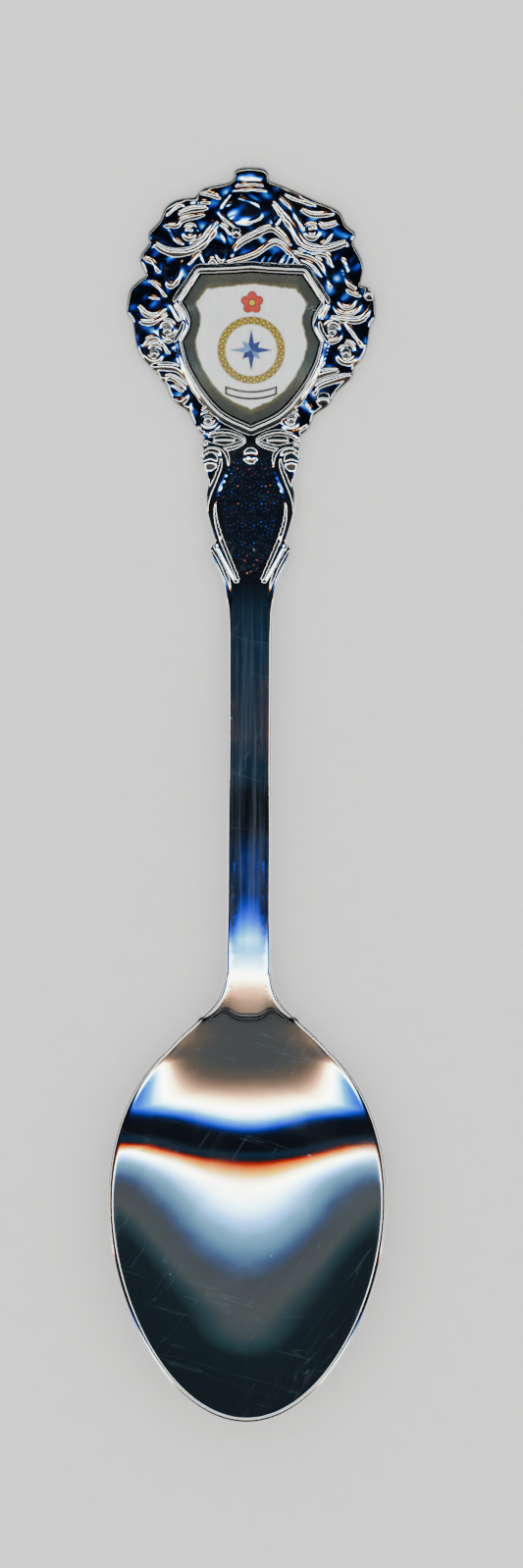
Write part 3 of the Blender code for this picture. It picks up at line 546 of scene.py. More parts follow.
def back_height(x, y):
    """Height of the back: the face lowered by the wall's thickness, square to the slope."""
    e = 0.05
    slope_x = (smooth_face(x + e, y) - smooth_face(x - e, y)) / (2 * e)
    slope_y = (smooth_face(x, y + e) - smooth_face(x, y - e)) / (2 * e)
    steep = np.sqrt(1 + np.minimum(slope_x ** 2 + slope_y ** 2, 1.0))
    thick = natural_spline(THICKNESS, y)
    crown = STEM_CROWN * within(y, CROWN_FADES) * np.clip(np.abs(x) / half_width(y), 0, 1) ** 2
    z = smooth_face(x, y) - thick * steep + crown
    return np.where(y >= HEAD_FLAT_Y, 0.0, np.maximum(z, 0.0))


def ridge(points, half, height, path, crest):
    """Height of a ridge along a path, slimmer and lower towards its ends."""
    far, place = distance(points, path, half)
    slim = 1 - RIDGE_TAPER * np.abs(2 * place - 1) ** 3
    near = np.clip(far / (half * slim), 0, 1)
    return height * (1 - RIDGE_END_DROP * (1 - slim)) * (1 - near ** crest)


def volute_path(cx, cy, radius, start, turns):
    """The line of a scroll, from its outer end inwards."""
    t = np.linspace(0, 1, 48)
    angle = np.radians(start) + 2 * math.pi * turns * t
    r = radius - VOLUTE_CLOSING * radius * t
    return np.stack([cx + r * np.cos(angle), cy + r * np.sin(angle)], axis=1)


def hatch_ridges():
    count, first, y, pitch, length = HATCH
    feet = [first + i * pitch for i in range(count)]
    return [(HATCH_HALF_WIDTH, [(x, y), (x + HATCH_LEAN, y + length)]) for x in feet]


def both_sides(ridges):
    return ridges + [(half, [(-x, y) for x, y in path]) for half, path in ridges]


def all_ridges():
    """Every ridge as (half width, height, fine path, power of its section)."""
    head = [(half * RIDGE_WIDTH, path) for half, path in RIDGES + hatch_ridges()]
    kinds = [(both_sides(PAIRED_RIDGES), NECK_STEEPNESS, NECK_CREST),
             (both_sides(PAIRED_LEAVES), LEAF_STEEPNESS, ROUND_CREST),
             (head, RIDGE_STEEPNESS, ROUND_CREST)]
    drawn = [(half, steepness * half, curve(path, RIDGE_STEP), crest)
             for ridges, steepness, crest in kinds for half, path in ridges]
    half = VOLUTE_HALF_WIDTH
    return drawn + [(half, RIDGE_STEEPNESS * half, volute_path(*volute), ROUND_CREST)
                    for *volute, stud in VOLUTES]


def ornament(points, pocket):
    """Height of the raised ornament above the head's face."""
    top = np.zeros(len(points))
    for half, height, path, crest in all_ridges():
        low, high = path.min(axis=0) - half, path.max(axis=0) + half
        near = np.flatnonzero(((points > low) & (points < high)).all(axis=1))
        if len(near):
            top[near] = np.maximum(top[near], ridge(points[near], half, height, path, crest))
    volute_studs = [(v[0], v[1], v[5], v[5], VOLUTE_STUD_RISE) for v in VOLUTES if v[5]]
    for x, y, rx, ry, height in STUDS + volute_studs:
        off = ((points[:, 0] - x) / rx) ** 2 + ((points[:, 1] - y) / ry) ** 2
        top = np.maximum(top, height * np.clip(1 - off, 0, 1))
    from_crest = edge_distance(points, pocket, 1.0) / BEZEL_HALF_WIDTH - 1
    return np.maximum(top, BEZEL_RISE * np.clip(1 - from_crest ** 2, 0, 1))


def hammered(x, y):
    """1 on the pitted panel of the neck, 0 elsewhere."""
    side = np.interp(y, *np.array(PANEL_SIDES).T)
    return fade(np.abs(x), side, -PANEL_SIDE_RUN) * within(y, PANEL_FADES)


def flutes(x, y):
    """Shallow grooves along the stem, with a fine raised line in the middle."""
    groove = np.clip(1 - ((np.abs(x) - FLUTE_X) / FLUTE_HALF_WIDTH) ** 2, 0, 1)
    line = np.clip(1 - (x / STEM_LINE_HALF_WIDTH) ** 2, 0, 1) ** 2
    return within(y, FLUTE_FADES) * (FLUTE_DEPTH * groove - STEM_LINE_RISE * line)


def edge_round(points, outline, rim_round):
    """How far the rounded edge lies below the flat face, from the bowl's rim to the head's."""
    y = points[:, 1]
    radius = rim_round + (STEM_ROUND - rim_round) * fade(y, *BOWL_EDGE_FADE)
    radius = radius + (HEAD_ROUND - STEM_ROUND) * fade(y, *HEAD_EDGE_FADE)
    into = np.clip(radius - edge_distance(points, outline, 1.0), 0, radius)
    return radius - np.sqrt(radius ** 2 - into ** 2)


def tongue(x, y):
    """The low raised strip along the middle of the heel that ends as the tongue."""
    across = fade(np.abs(x), *TONGUE_SIDE_FADE)
    return TONGUE_RISE * across * fade(y, *TONGUE_FADE) * stem_share(x, y)


def pits(x, y):
    """Shallow dimples of the hammered panel."""
    a = np.sin(9.1 * x + 1.3 * np.sin(3.7 * y)) * np.sin(8.3 * y + 1.7 * np.sin(4.1 * x))
    b = np.sin(15.7 * x + 2.1 * np.sin(6.3 * y) + 1.0) * np.sin(14.2 * y + 1.9 * np.sin(5.2 * x))
    return PIT_DEPTHS[0] * a + PIT_DEPTHS[1] * b


def swell(x, y):
    """Slow unevenness of the struck ground between the ornaments."""
    a = np.sin(1.9 * x + 1.4 * np.sin(0.9 * y + 0.4)) * np.sin(1.7 * y + 1.1 * np.sin(1.3 * x))
    b = np.sin(3.3 * x + 1.2 * np.sin(1.7 * y) + 2.0) * np.sin(2.9 * y + 1.5 * np.sin(1.1 * x) + 1.0)
    return SWELL_HEIGHTS[0] * a + SWELL_HEIGHTS[1] * b


def top_height(points, outline, pocket):
    """Height of the face with everything on it, and how much of it is ornament."""
    x, y = points.T
    relief = fade(y, *RELIEF_FADE) * ornament(points, pocket)
    z = body_height(x, y) - flutes(x, y) - edge_round(points, outline, RIM_ROUND) + tongue(x, y)
    return z + relief + fade(y, *HEAD_FADE) * swell(x, y) + hammered(x, y) * pits(x, y), relief


def bottom_height(points, outline):
    x, y = points.T
    return back_height(x, y) + edge_round(points, outline, RIM_ROUND_BELOW)


# --- meshes


def single(points):
    """The points as 32-bit numbers hold them."""
    return np.asarray(points, np.float32).astype(float).reshape(-1, 2)


def triangulate(loops, points=()):
    """Triangles between the loops (outer first, then holes), using the loose points too."""
    loops = [single(loop) for loop in loops]
    flat = np.vstack(loops + [single(points)])
    edges = []
    start = 0
    for loop in loops:
        n = len(loop)
        edges += [(start + i, start + (i + 1) % n) for i in range(n)]
        start += n
    result = delaunay_2d_cdt([tuple(p) for p in flat], edges, [], 0, 1e-7)
    found = np.array([tuple(v) for v in result[0]])
    origin = np.array([source[0] for source in result[3]])
    raw = np.array(result[2])
    middle = found[raw].mean(axis=1)
    kept = inside(middle, loops[0])
    for hole in loops[1:]:
        kept &= ~inside(middle, hole)
    tris = origin[raw][kept]
    a, b, c = flat[tris[:, 0]], flat[tris[:, 1]], flat[tris[:, 2]]
    u, v = b - a, c - a
    flip = u[:, 0] * v[:, 1] - u[:, 1] * v[:, 0] < 0
    tris[flip] = tris[flip][:, ::-1]
    return flat, tris


def wall(lower, upper, count):
    """Triangles of the band between two rings of the same count, facing out."""
    i = np.arange(count)
    j = (i + 1) % count
    one = np.stack([lower + i, lower + j, upper + j], axis=1)
    two = np.stack([lower + i, upper + j, upper + i], axis=1)
    return np.vstack([one, two])


def new_object(name, data):
    made = bpy.data.objects.new(name, data)
    bpy.context.scene.collection.objects.link(made)
    return made


def new_mesh(name, vertices, faces, materials):
    mesh = bpy.data.meshes.new(name)
    mesh.from_pydata(vertices.tolist(), [], faces.tolist())
    for material in materials:
        mesh.materials.append(material)
    return mesh


def piece(name, vertices, triangles, materials, node, smooth=50.0, layers=None, slots=None):
    """A visible piece in metres that stands for a CAD node."""
    mesh = new_mesh(name, vertices * MM, triangles, materials)
    if slots is not None:
        mesh.polygons.foreach_set("material_index", np.asarray(slots, np.int32))
    mesh.shade_smooth()
    mesh.set_sharp_from_angle(angle=math.radians(smooth))
    for key, values in (layers or {}).items():
        layer = mesh.attributes.new(key, "FLOAT", "POINT")
        layer.data.foreach_set("value", np.asarray(values, np.float32))
    made = new_object(name, mesh)
    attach(made, "root")
    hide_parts(node)


# --- shader helpers


class Shader:
    """Short words for building the node tree of a material or a world."""

    def __init__(self, owner):
        owner.use_nodes = True
        owner.node_tree.nodes.clear()
        self.owner = owner
        self.tree = owner.node_tree

    def node(self, kind, inputs=(), **settings):
        """A shader node, with values or other nodes' outputs on its inputs, in order or by name."""
        made = self.tree.nodes.new("ShaderNode" + kind)
        for key, value in settings.items():
            setattr(made, key, value)
        for key, value in inputs.items() if isinstance(inputs, dict) else enumerate(inputs):
            if isinstance(value, bpy.types.NodeSocket):
                self.tree.links.new(value, made.inputs[key])
            else:
                made.inputs[key].default_value = value
        return made

    def math(self, operation, a, b=0.0, clamp=False):
        return self.node("Math", (a, b), operation=operation, use_clamp=clamp).outputs[0]

    def range(self, value, low, high, to_low=0.0, to_high=1.0, smooth=True):
        made = self.node("MapRange", (value, low, high, to_low, to_high),
                         interpolation_type="SMOOTHSTEP" if smooth else "LINEAR")
        return made.outputs[0]

    def ramp(self, value, stops):
        made = self.node("ValToRGB", [value])
        elements = made.color_ramp.elements
        while len(elements) < len(stops):
            elements.new(0.5)
        for element, (place, colour) in zip(elements, stops):
            element.position = place
            element.color = (*colour, 1.0)
        return made.outputs[0]

    def mix(self, share, a, b, blend="MIX"):
        a, b = [(*colour, 1.0) if isinstance(colour, tuple) else colour for colour in (a, b)]
        made = self.node("Mix", {0: share, 6: a, 7: b}, data_type="RGBA", blend_type=blend)
        return made.outputs[2]

    def place(self, scale=(1.0, 1.0, 1.0), turn=0.0, shift=0.0, kind="POINT"):
        """Object coordinates, stretched per axis, turned and shifted."""
        inputs = {"Vector": self.node("TexCoord").outputs["Object"], "Scale": scale,
                  "Rotation": (0.0, 0.0, turn), "Location": (shift, shift, 0.0)}
        return self.node("Mapping", inputs, vector_type=kind).outputs[0]

    def noise(self, vector, scale, detail=4.0, roughness=0.55):
        inputs = {"Vector": vector, "Scale": scale, "Detail": detail, "Roughness": roughness}
        return self.node("TexNoise", inputs).outputs["Fac"]

    def attribute(self, name):
        return self.node("Attribute", attribute_name=name).outputs["Fac"]

    def bump(self, height, strength, distance):
        inputs = {"Strength": strength, "Distance": distance, "Height": height}
        return self.node("Bump", inputs).outputs[0]

    def shader(self, kind, **inputs):
        """A surface of the given kind; an input such as Base_Color is the one named Base Color."""
        named = {key.replace("_", " "): value for key, value in inputs.items()}
        return self.node("Bsdf" + kind, named).outputs[0]

    def blend(self, share, first, second):
        """The first surface, with the second one showing by its share."""
        return self.node("MixShader", (share, first, second)).outputs[0]

    def surface(self, shader):
        """The material, with this surface."""
        self.node("OutputMaterial", {"Surface": shader})
        return self.owner


def new_material(name):
    return Shader(bpy.data.materials.new(name))


# --- materials

PLATE_BRIGHT = (0.86, 0.865, 0.87)
PLATE_HAZY = (0.76, 0.765, 0.77)
SCATTER_TINT = (0.55, 0.72, 0.95)
BRUSHED_SHARE = 0.12
HAIR_SHARE = 0.05
DUST_SHARE = 0.5
YELLOW_INK = (0.50, 0.33, 0.008)
INK_LINE = (0.02, 0.018, 0.02)
EYE_RADIUS = 0.30


def plated_metal():
    """Bright plate: a clear mirror under fine scratches, brushed streaks and a few specks of dust, darkened
    by painted shade between the head's ridges, along the heel's step and on the pocket's floor.
    """
    s = new_material("plated_metal")
    low = s.attribute("painted_shade")
    haze = s.noise(s.place(), 160.0, 5.0, 0.6)
    orange_peel = s.noise(s.place(), 420.0, 2.0, 0.4)
    # Painted shade: the base colour darkens to near black in the shaded hollows and along the heel's step.
    painted_shade_tint = s.ramp(low, [(0.0, (1.0, 1.0, 1.0)), (1.0, (0.05, 0.05, 0.05))])
    plate = s.mix(s.range(haze, 0.45, 0.75, 0.0, 0.35), PLATE_BRIGHT, PLATE_HAZY)
    mirror = s.shader("Principled", Base_Color=s.mix(1.0, plate, painted_shade_tint, "MULTIPLY"), Metallic=1.0,
                      Roughness=s.range(haze, 0.35, 0.75, 0.03, 0.08),
                      Normal=s.bump(orange_peel, 0.06, 0.00003))
    streaks = s.noise(s.place((3200.0, 70.0, 70.0)), 1.0, 4.0, 0.7)
    brushed = s.math("MULTIPLY", s.range(streaks, 0.42, 0.78), s.attribute("brushed"))
    hairs = s.math("ADD", scratch_lines(s, 1.3, 0.0), scratch_lines(s, -0.6, 0.37))
    marks = s.math("ADD", s.math("MULTIPLY", brushed, BRUSHED_SHARE), s.math("MULTIPLY", hairs, HAIR_SHARE))
    marks = s.math("ADD", marks, s.math("MULTIPLY", dust_specks(s), DUST_SHARE), clamp=True)
    share = s.math("MULTIPLY", marks, s.math("SUBTRACT", 1.0, low))
    scatter = s.shader("Glossy", Color=(*SCATTER_TINT, 1.0), Roughness=0.6)
    return s.surface(s.blend(share, mirror, scatter))


def dust_specks(s):
    """Sparse round specks, 1 on a speck and 0 off it."""
    cells = s.node("TexVoronoi", {"Vector": s.place(), "Scale": 650.0})
    sparse = s.range(s.noise(s.place(), 300.0, 3.0), 0.53, 0.60)
    return s.math("MULTIPLY", s.range(cells.outputs["Distance"], 0.03, 0.09, 1.0, 0.0), sparse)


def scratch_lines(s, lean, offset):
    """Sparse hairline scratches, 1 on a line and 0 off it."""
    field = s.noise(s.place((0.0011, 0.016, 0.016), lean, offset, "TEXTURE"), 1.0, 2.0, 0.5)
    return s.range(s.math("ABSOLUTE", s.math("SUBTRACT", field, 0.62)), 0.0, 0.012, 1.0, 0.0)


def adhesive_material():
    """Grey, grained adhesive that turns brown along the plate."""
    s = new_material("badge_adhesive_grey")
    grain = s.noise(s.place(), 900.0, 5.0, 0.6)
    edge = s.attribute("wall_gap")
    brown = s.range(s.math("ADD", edge, s.math("MULTIPLY", grain, 0.35)), 0.95, 1.15)
    grey = s.ramp(grain, [(0.3, (0.026, 0.031, 0.029)), (0.7, (0.046, 0.053, 0.050))])
    colour = s.mix(brown, grey, (0.085, 0.072, 0.036))
    return s.surface(s.shader("Principled", Base_Color=colour, Roughness=0.55,
                              Normal=s.bump(grain, 0.3, 0.00005)))


def white_print():
    """White print on thin metal, with the metal's brushing faintly showing and a worn edge."""
    s = new_material("white_print")
    brushed = s.noise(s.place((2600.0, 90.0, 90.0)), 1.0, 3.0)
    cloudy = s.noise(s.place(), 350.0, 4.0)
    tone = s.math("ADD", s.math("MULTIPLY", brushed, 0.6), s.math("MULTIPLY", cloudy, 0.4))
    white = s.ramp(tone, [(0.3, (0.66, 0.66, 0.69)), (0.55, (0.76, 0.76, 0.785)),
                          (0.75, (0.82, 0.82, 0.84))])
    rim = s.attribute("edge_gap")
    ragged = s.noise(s.place(), 1500.0, 3.0)
    worn = s.range(s.math("SUBTRACT", rim, s.math("MULTIPLY", ragged, 0.16)), -0.02, 0.10)
    colour = s.mix(worn, (0.17, 0.15, 0.085), white)
    return s.surface(s.shader("Principled", Base_Color=colour, Roughness=0.4,
                              Normal=s.bump(brushed, 0.08, 0.00001)))


def ink(name, light, dark, outline=None, eye=None):
    """Printed ink with an uneven lay, and maybe a thin dark outline and a round eye."""
    s = new_material(name)
    lay = s.noise(s.place(), 2200.0, 4.0, 0.6)
    colour = s.ramp(lay, [(0.32, dark), (0.6, light)])
    if outline is not None:
        colour = s.mix(s.range(s.attribute("line_gap"), *outline), INK_LINE, colour)
    if eye is not None:
        gap = s.attribute("eye_gap")
        colour = s.mix(s.range(gap, EYE_RADIUS - 0.04, EYE_RADIUS), eye, colour)
        from_rim = s.math("ABSOLUTE", s.math("SUBTRACT", gap, EYE_RADIUS))
        colour = s.mix(s.range(from_rim, 0.03, 0.06), INK_LINE, colour)
    return s.surface(s.shader("Principled", Base_Color=colour, Roughness=0.35,
                              Normal=s.bump(lay, 0.15, 0.00002)))


def clear_resin():
    """Clear cast resin: light passes straight on, and the skin mirrors a little."""
    s = new_material("clear_resin")
    normal = s.bump(s.noise(s.place(), 260.0, 2.0), 0.03, 0.0001)
    fresnel = s.node("Fresnel", {"IOR": 1.3, "Normal": normal})
    clear = s.shader("Transparent", Color=(0.97, 0.98, 0.97, 1.0))
    gloss = s.shader("Glossy", Roughness=0.06, Normal=normal)
    from_outside = s.math("SUBTRACT", 1.0, s.node("NewGeometry").outputs["Backfacing"])
    share = s.math("MULTIPLY", s.math("MULTIPLY", fresnel.outputs[0], 0.5), from_outside)
    return s.surface(s.blend(share, clear, gloss))


# --- the spoon's body


def brushed_share(y):
    """How strongly the lengthwise brushing shows: full on the stem, nearly gone elsewhere."""
    return 0.06 + 0.94 * within(y, BRUSHED_FADES)


def painted_shade_of(points, relief):
    """Painted shade of each point: 1 along the heel's step, less between the head's ridges, else 0."""
    x, y = points.T
    in_ornament = fade(y, *HEAD_FADE) * np.clip(1 - relief / PAINTED_SHADE_RELIEF, 0, 1)
    reach, run, drop, half = HEEL_SHADE
    # Painted shade in a band along the heel's step.
    under_heel = np.clip((reach - np.abs(y - heel_edge(x) + drop)) / run, 0, 1)
    return np.maximum(GROUND_PAINTED_SHADE * in_ornament, under_heel * (np.abs(x) < half))


def skin_points(outline, grids, gap, pocket=None):
    """Points along the outline's rounded edge, and those of the grids that are clear of the edges."""
    edges = [ring_points(outline, depth) for depth in EDGE_DEPTHS]
    loose = np.vstack([grid((-half, first), (half, last), spacing)
                       for half, first, last, spacing in grids])
    loose = clear_of(loose[inside(loose, outline)], outline, EDGE_DEPTHS[-1] + gap)
    if pocket is not None:
        loose = clear_of(loose[~inside(loose, pocket)], pocket, gap)
    return np.vstack(edges + [loose])


def make_body(metal):
    """The whole spoon with its pocket, as one closed skin."""
    outline = spoon_outline()
    pocket = symmetric_loop(SHIELD_RUNS, OUTLINE_STEP_HEAD)
    top_flat, top_tris = triangulate([outline, pocket], skin_points(outline, FACE_GRIDS, 0.07, pocket))
    back_flat, back_tris = triangulate([outline], skin_points(outline, BACK_GRIDS, 0.12))
    floor_flat, floor_tris = triangulate([pocket])
    heights, relief = top_height(top_flat, outline, pocket)
    top = np.column_stack([top_flat, heights])
    back = np.column_stack([back_flat, bottom_height(back_flat, outline)])
    floor = np.column_stack([floor_flat, np.full(len(floor_flat), POCKET_FLOOR_Z)])
    n, m, k = len(top), len(back), len(outline)
    triangles = [top_tris, back_tris[:, ::-1] + n, floor_tris + n + m,
                 wall(n, 0, k), wall(n + m, k, len(pocket))[:, ::-1]]
    # Painted shade: from the face's hollows and the heel's step on top, none on the back, full on the
    # pocket's floor.
    painted_shade = np.concatenate([painted_shade_of(top_flat, relief), np.zeros(m), np.ones(len(floor))])
    brushed = np.concatenate([brushed_share(top_flat[:, 1]), brushed_share(back_flat[:, 1]),
                              np.zeros(len(floor))])
    piece("spoon_body_struck", np.vstack([top, back, floor]), np.vstack(triangles), [metal],
          "spoon_body", 75.0, {"painted_shade": painted_shade, "brushed": brushed})


# --- the badge


def slab(name, loops, levels, materials, node, height=None, loose=(), layers=None, slots=None):
    """A thin layer. height(points) may shape its upper side, and slots(middles of the triangles)
    may choose among its materials."""
    flat, tris = triangulate(loops, loose)
    n = len(flat)
    rise = np.zeros(n) if height is None else height(flat)
    low = np.column_stack([flat, np.full(n, levels[0])])
    high = np.column_stack([flat, levels[1] + rise])
    faces = [tris[:, ::-1], tris + n]
    start = 0
    for k, loop in enumerate(loops):
        band = wall(start, n + start, len(loop))
        faces.append(band if k == 0 else band[:, ::-1])
        start += len(loop)
    values = {key: np.tile(make(flat), 2) for key, make in (layers or {}).items()}
    vertices, triangles = np.vstack([low, high]), np.vstack(faces)
    chosen = None if slots is None else slots(vertices[triangles].mean(axis=1)[:, :2])
    piece(name, vertices, triangles, materials, node, 40.0, values, chosen)


def turn(count):
    """Angles of count points evenly round a circle."""
    return 2 * math.pi * np.arange(count) / count


def around(centre, radius, angle):
    return np.array(centre) + np.stack([radius * np.cos(angle), radius * np.sin(angle)], axis=1)


def ragged(loop, size):
    """The loop with a small, uneven tremble, as a cut or smeared edge has."""
    t = turn(len(loop))
    wave = (np.sin(23 * t + 0.7) + 0.8 * np.sin(41 * t + 2.1) + 0.6 * np.sin(67 * t + 4.0)
            + 0.5 * np.sin(103 * t + 1.2)) / 2.9
    return loop + (inset(loop, 1.0) - loop) * (size * wave)[:, None]


def polar(points):
    """Distance and angle of each point from the ring's centre."""
    x, y = (points - np.array(RING_CENTRE)).T
    return np.hypot(x, y), np.arctan2(y, x)


def from_bead(points):
    """Place of each point from the nearest bead's centre, across the ring and along it."""
    r, angle = polar(points)
    middle = sum(RING_RADII) / 2
    along = (angle * RING_BEADS / (2 * math.pi)) % 1 - 0.5
    return r - middle, along * 2 * math.pi * middle / RING_BEADS


def ring_beads(points):
    """Height of the round beads along the ring."""
    across, along = from_bead(points)
    out = (across / BEAD_RADII[0]) ** 2 + (along / BEAD_RADII[1]) ** 2
    return BEAD_RISE * np.sqrt(np.clip(1 - out, 0, 1))


def compass_loop():
    """An eight-pointed star of four long and four short points."""
    long_point, notch, short_point = COMPASS_RADII
    return around(RING_CENTRE, [long_point, notch, short_point, notch] * 4, turn(16))


def rosette_loop():
    """A flower of five round petals."""
    angle = turn(120)
    r = ROSETTE_RADIUS + ROSETTE_LOBE * np.abs(np.cos(2.5 * (angle - math.pi / 2)))
    return around(ROSETTE_CENTRE, r, angle)


def ribbon_loop(shrink):
    """The outline of a slightly sagging ribbon, or a line inside it."""
    x = np.linspace(-1, 1, 31) * (RIBBON_HALF_LENGTH - shrink)
    middle = RIBBON_Y + RIBBON_SAG * x * x
    half = RIBBON_HALF_HEIGHT - shrink
    return np.vstack([np.stack([x, middle - half], axis=1), np.stack([x, middle + half], axis=1)[::-1]])


def make_dome(resin):
    """The clear lens: domed above, hollow below, with a skirt that stands round the plate."""
    pocket = symmetric_loop(SHIELD_RUNS, BADGE_STEP)
    edge = inset(pocket, DOME_INSET)
    loose = grid((-6, 31.5), (6, 45.5), 0.35)
    loose = clear_of(loose[inside(loose, edge)], edge, 0.2)
    top_flat, top_tris = triangulate([edge], loose)
    foot = inset(edge, DOME_SKIRT_WIDTH - DOME_SKIRT_SLOPE)
    low_flat, low_tris = triangulate([edge], np.vstack([foot, inset(edge, DOME_SKIRT_WIDTH)]))
    deep = edge_distance(top_flat, edge)
    rise = DOME_CROWN * (1 - (1 - np.clip(deep / DOME_CROWN_REACH, 0, 1)) ** 2)
    top = np.column_stack([top_flat, DOME_EDGE_Z + rise])
    under = np.full(len(low_flat), DOME_SKIRT_Z)
    under[len(edge) + len(foot):] = DOME_UNDER_Z
    low = np.column_stack([low_flat, under])
    triangles = [top_tris, low_tris[:, ::-1] + len(top), wall(len(top), 0, len(edge))]
    piece("badge_dome_clear", np.vstack([top, low]), np.vstack(triangles), [resin],
          "badge_dome")


def ring_line_gap(points):
    """Distance to the nearest printed line of the ring: its two edges and the beads' outlines."""
    r = polar(points)[0]
    edge = np.minimum(r - RING_RADII[0], RING_RADII[1] - r)
    return np.minimum(edge, np.abs(np.hypot(*from_bead(points)) - BEAD_LINE_RADIUS))


def make_emblem():
    """The printed mark: a beaded ring with a compass rose, a rosette above and a blank ribbon below."""
    ring = [around(RING_CENTRE, RING_RADII[1], turn(240)), around(RING_CENTRE, RING_RADII[0], turn(200))]
    fine = grid((-3, 35.4), (3, 41.4), 0.05)
    r = polar(fine)[0]
    fine = fine[(r > RING_RADII[0] + 0.035) & (r < RING_RADII[1] - 0.035)]
    yellow = ink("yellow_ink", YELLOW_INK, (0.36, 0.22, 0.004), outline=(0.02, 0.07))
    slab("badge_ring_beaded", ring, INK_Z, [yellow], "badge_ring", height=ring_beads,
         loose=fine, layers={"line_gap": ring_line_gap})
    blues = [ink("blue_ink", (0.01, 0.022, 0.2), (0.006, 0.012, 0.09)),
             ink("pale_blue_ink", (0.1, 0.22, 0.5), (0.06, 0.14, 0.36))]
    slab("badge_compass_star", [compass_loop()], INK_Z, blues, "badge_compass",
         loose=[RING_CENTRE], slots=compass_halves)
    rosette = rosette_loop()
    red = ink("red_ink", (0.52, 0.018, 0.008), (0.34, 0.01, 0.006), outline=(0.03, 0.09),
              eye=YELLOW_INK)
    slab("badge_rosette_red", [rosette], INK_Z, [red], "badge_rosette",
         loose=fine_points(rosette, 0.06),
         layers={"line_gap": lambda p: edge_distance(p, rosette),
                 "eye_gap": lambda p: np.hypot(*(p - np.array(ROSETTE_CENTRE)).T)})
    slab("badge_ribbon_line", [ribbon_loop(0.0), ribbon_loop(RIBBON_LINE)], INK_Z,
         [ink("black_ink", (0.02, 0.02, 0.028), (0.01, 0.01, 0.014))], "badge_ribbon")


def compass_halves(middles):
    """0 on the dark half of each compass point, 1 on its light half."""
    angle = polar(middles)[1] % (2 * math.pi)
    return (np.floor(angle * 8 / math.pi) % 2).astype(int)


def make_badge():
    pocket = symmetric_loop(SHIELD_RUNS, BADGE_STEP)
    bed = inset(pocket, ADHESIVE_INSET)
    slab("badge_adhesive_bed", [bed], ADHESIVE_Z, [adhesive_material()], "badge_adhesive",
         loose=fine_points(bed, BADGE_STEP), layers={"wall_gap": lambda p: edge_distance(p, pocket)})
    plate = ragged(symmetric_loop(PLATE_RUNS, 0.08), 0.06)
    slab("badge_plate_printed", [plate], PLATE_Z, [white_print()], "badge_plate",
         loose=fine_points(plate, BADGE_STEP),
         layers={"edge_gap": lambda p: edge_distance(p, plate)})
    make_emblem()
    make_dome(clear_resin())


# --- floor, light and camera

# Lengths from here on are in metres.
FLOOR_HALF = 3.0
FLOOR_CELLS = 24
FLOOR_Z = min(float(corner[2]) for corner in CAD_BOX) - 0.00002
FRAME_HEIGHT = 0.1353  # what the camera sees from top to bottom
FRAME_CENTRE = (0.00106, 0.00097, 1.0)
FRAME_TURN = 0.0047  # the spoon lies this many radians askew in the frame


def make_floor():
    """A pale, plain sheet of card under the spoon, which can't be seen from below."""
    n = FLOOR_CELLS
    place = np.linspace(-FLOOR_HALF, FLOOR_HALF, n + 1)
    x, y = np.meshgrid(place, place)
    vertices = np.column_stack([x.ravel(), y.ravel(), np.full(x.size, FLOOR_Z)])
    i = (np.arange(n)[:, None] * (n + 1) + np.arange(n)).ravel()
    quads = np.stack([i, i + 1, i + n + 2, i + n + 1], axis=1)
    s = new_material("pale_card")
    fibre = s.noise(s.place(), 500.0, 5.0, 0.6)
    colour = s.ramp(fibre, [(0.3, (0.70, 0.70, 0.69)), (0.7, (0.73, 0.73, 0.72))])
    card = s.shader("Principled", Base_Color=colour, Roughness=0.85)
    from_below = s.node("NewGeometry").outputs["Backfacing"]
    two_sided = s.surface(s.blend(from_below, card, s.shader("Transparent")))
    new_object("floor", new_mesh("floor", vertices, quads, [two_sided]))


# How much the light bands curve towards the head at their ends: bend at the heel's side, in the
# middle and at the tip's side, and the directions along Y between which it changes.
BAND_BENDS = (0.80, 0.27, 0.46)
HEEL_SIDE = (-0.5, -0.21)
TIP_SIDE = (-0.16, 0.0)
# Light of the sky (red, green, blue) against the direction along Y, from the heel's side to the
# tip's: two white bands with coloured edges, a dark gap between them and grey beyond them.
SKY_BANDS = [
    (-0.6, (0.015, 0.018, 0.02)), (-0.46, (0.078, 0.085, 0.088)), (-0.34, (0.085, 0.094, 0.092)),
    (-0.24, (0.15, 0.12, 0.095)), (-0.2, (0.3, 0.2, 0.14)), (-0.172, (0.75, 0.42, 0.27)),
    (-0.15, (2.6, 1.2, 0.6)), (-0.127, (8.0, 7.0, 3.0)), (-0.105, (12.0, 12.0, 11.0)),
    (-0.085, (1.8, 5.5, 7.0)), (-0.07, (0.0, 1.3, 2.6)), (-0.056, (0.0, 0.45, 2.2)),
    (-0.04, (0.0, 0.06, 1.5)), (-0.016, (0.006, 0.018, 0.1)), (0.01, (0.006, 0.009, 0.016)),
    (0.12, (0.006, 0.008, 0.011)), (0.17, (0.008, 0.03, 0.06)), (0.208, (0.005, 0.012, 0.02)),
    (0.224, (0.8, 0.012, 0.0)), (0.236, (1.9, 0.26, 0.0)), (0.247, (2.4, 0.9, 0.0)),
    (0.259, (3.4, 2.1, 0.02)), (0.28, (11.0, 11.0, 9.0)), (0.296, (2.6, 6.0, 7.5)),
    (0.308, (0.55, 1.8, 4.2)), (0.324, (0.24, 0.66, 1.0)), (0.361, (0.07, 0.11, 0.27)),
    (0.38, (0.075, 0.09, 0.1)), (0.42, (0.095, 0.11, 0.11)), (0.438, (0.03, 0.07, 0.085)),
    (0.466, (0.012, 0.022, 0.03)), (0.8, (0.009, 0.013, 0.016)),
]
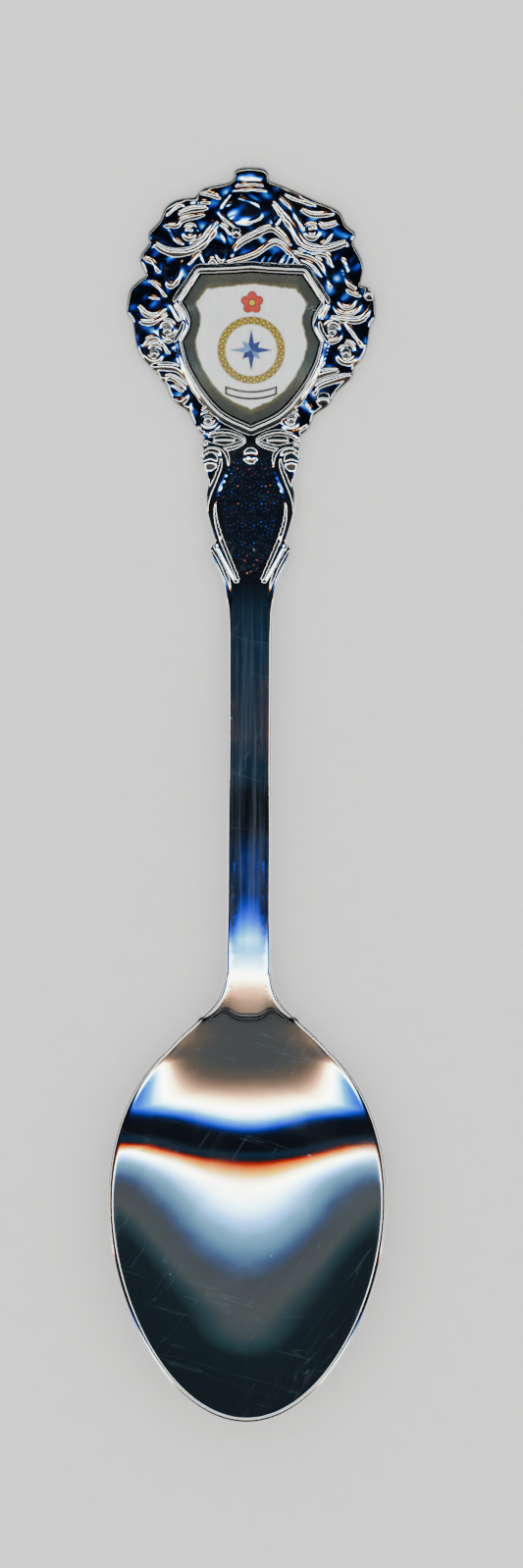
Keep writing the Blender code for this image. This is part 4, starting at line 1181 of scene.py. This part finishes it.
HORIZON_GLOW = 1.5
DARK_FOOT = (0.05, 0.15)  # heights between which the glow fades in above the floor's edge
HORIZON_HEIGHT = (0.12, 0.55)  # heights between which the glow gives way to the bands
ROOM_LIGHT = 1.6  # even light that falls on everything that doesn't mirror
BACKDROP = (1.2, 1.2, 1.19)  # what the camera itself sees beyond the floor


def make_sky():
    """Two long light bands over a dark middle, and a pale even surround near the horizon."""
    world = bpy.data.worlds.new("studio")
    bpy.context.scene.world = world
    s = Shader(world)
    direction = s.node("TexCoord").outputs["Generated"]
    x, y, height = s.node("SeparateXYZ", [direction]).outputs
    heel, middle, tip = BAND_BENDS
    to_heel = s.range(y, *HEEL_SIDE, heel, middle, smooth=False)
    bend = s.math("ADD", to_heel, s.range(y, *TIP_SIDE, 0.0, tip - middle, smooth=False))
    along = s.math("ADD", y, s.math("MULTIPLY", s.math("MULTIPLY", x, x), bend))
    low, high = SKY_BANDS[0][0], SKY_BANDS[-1][0]
    stops = [((place - low) / (high - low), colour) for place, colour in SKY_BANDS]
    bands = s.ramp(s.range(along, low, high, smooth=False), stops)
    glow = s.mix(s.range(height, *DARK_FOOT), (0.2, 0.2, 0.2), (HORIZON_GLOW,) * 3)
    sky = s.mix(s.range(height, *HORIZON_HEIGHT, 1.0, 0.0), bands, glow)
    ray = s.node("LightPath").outputs
    sky = s.mix(ray["Is Diffuse Ray"], sky, (ROOM_LIGHT,) * 3)
    sky = s.mix(ray["Is Camera Ray"], sky, BACKDROP)
    background = s.node("Background", {"Color": sky})
    s.node("OutputWorld", {"Surface": background.outputs[0]})


def make_camera():
    """Straight down on the face, head up, framed as a flat scan."""
    data = bpy.data.cameras.new("camera")
    data.type = "ORTHO"
    data.ortho_scale = FRAME_HEIGHT
    data.clip_end = 10.0
    camera = new_object("camera", data)
    camera.location = FRAME_CENTRE
    camera.rotation_euler = (0.0, 0.0, FRAME_TURN)
    bpy.context.scene.camera = camera


make_body(plated_metal())
make_badge()
make_floor()
make_sky()
make_camera()
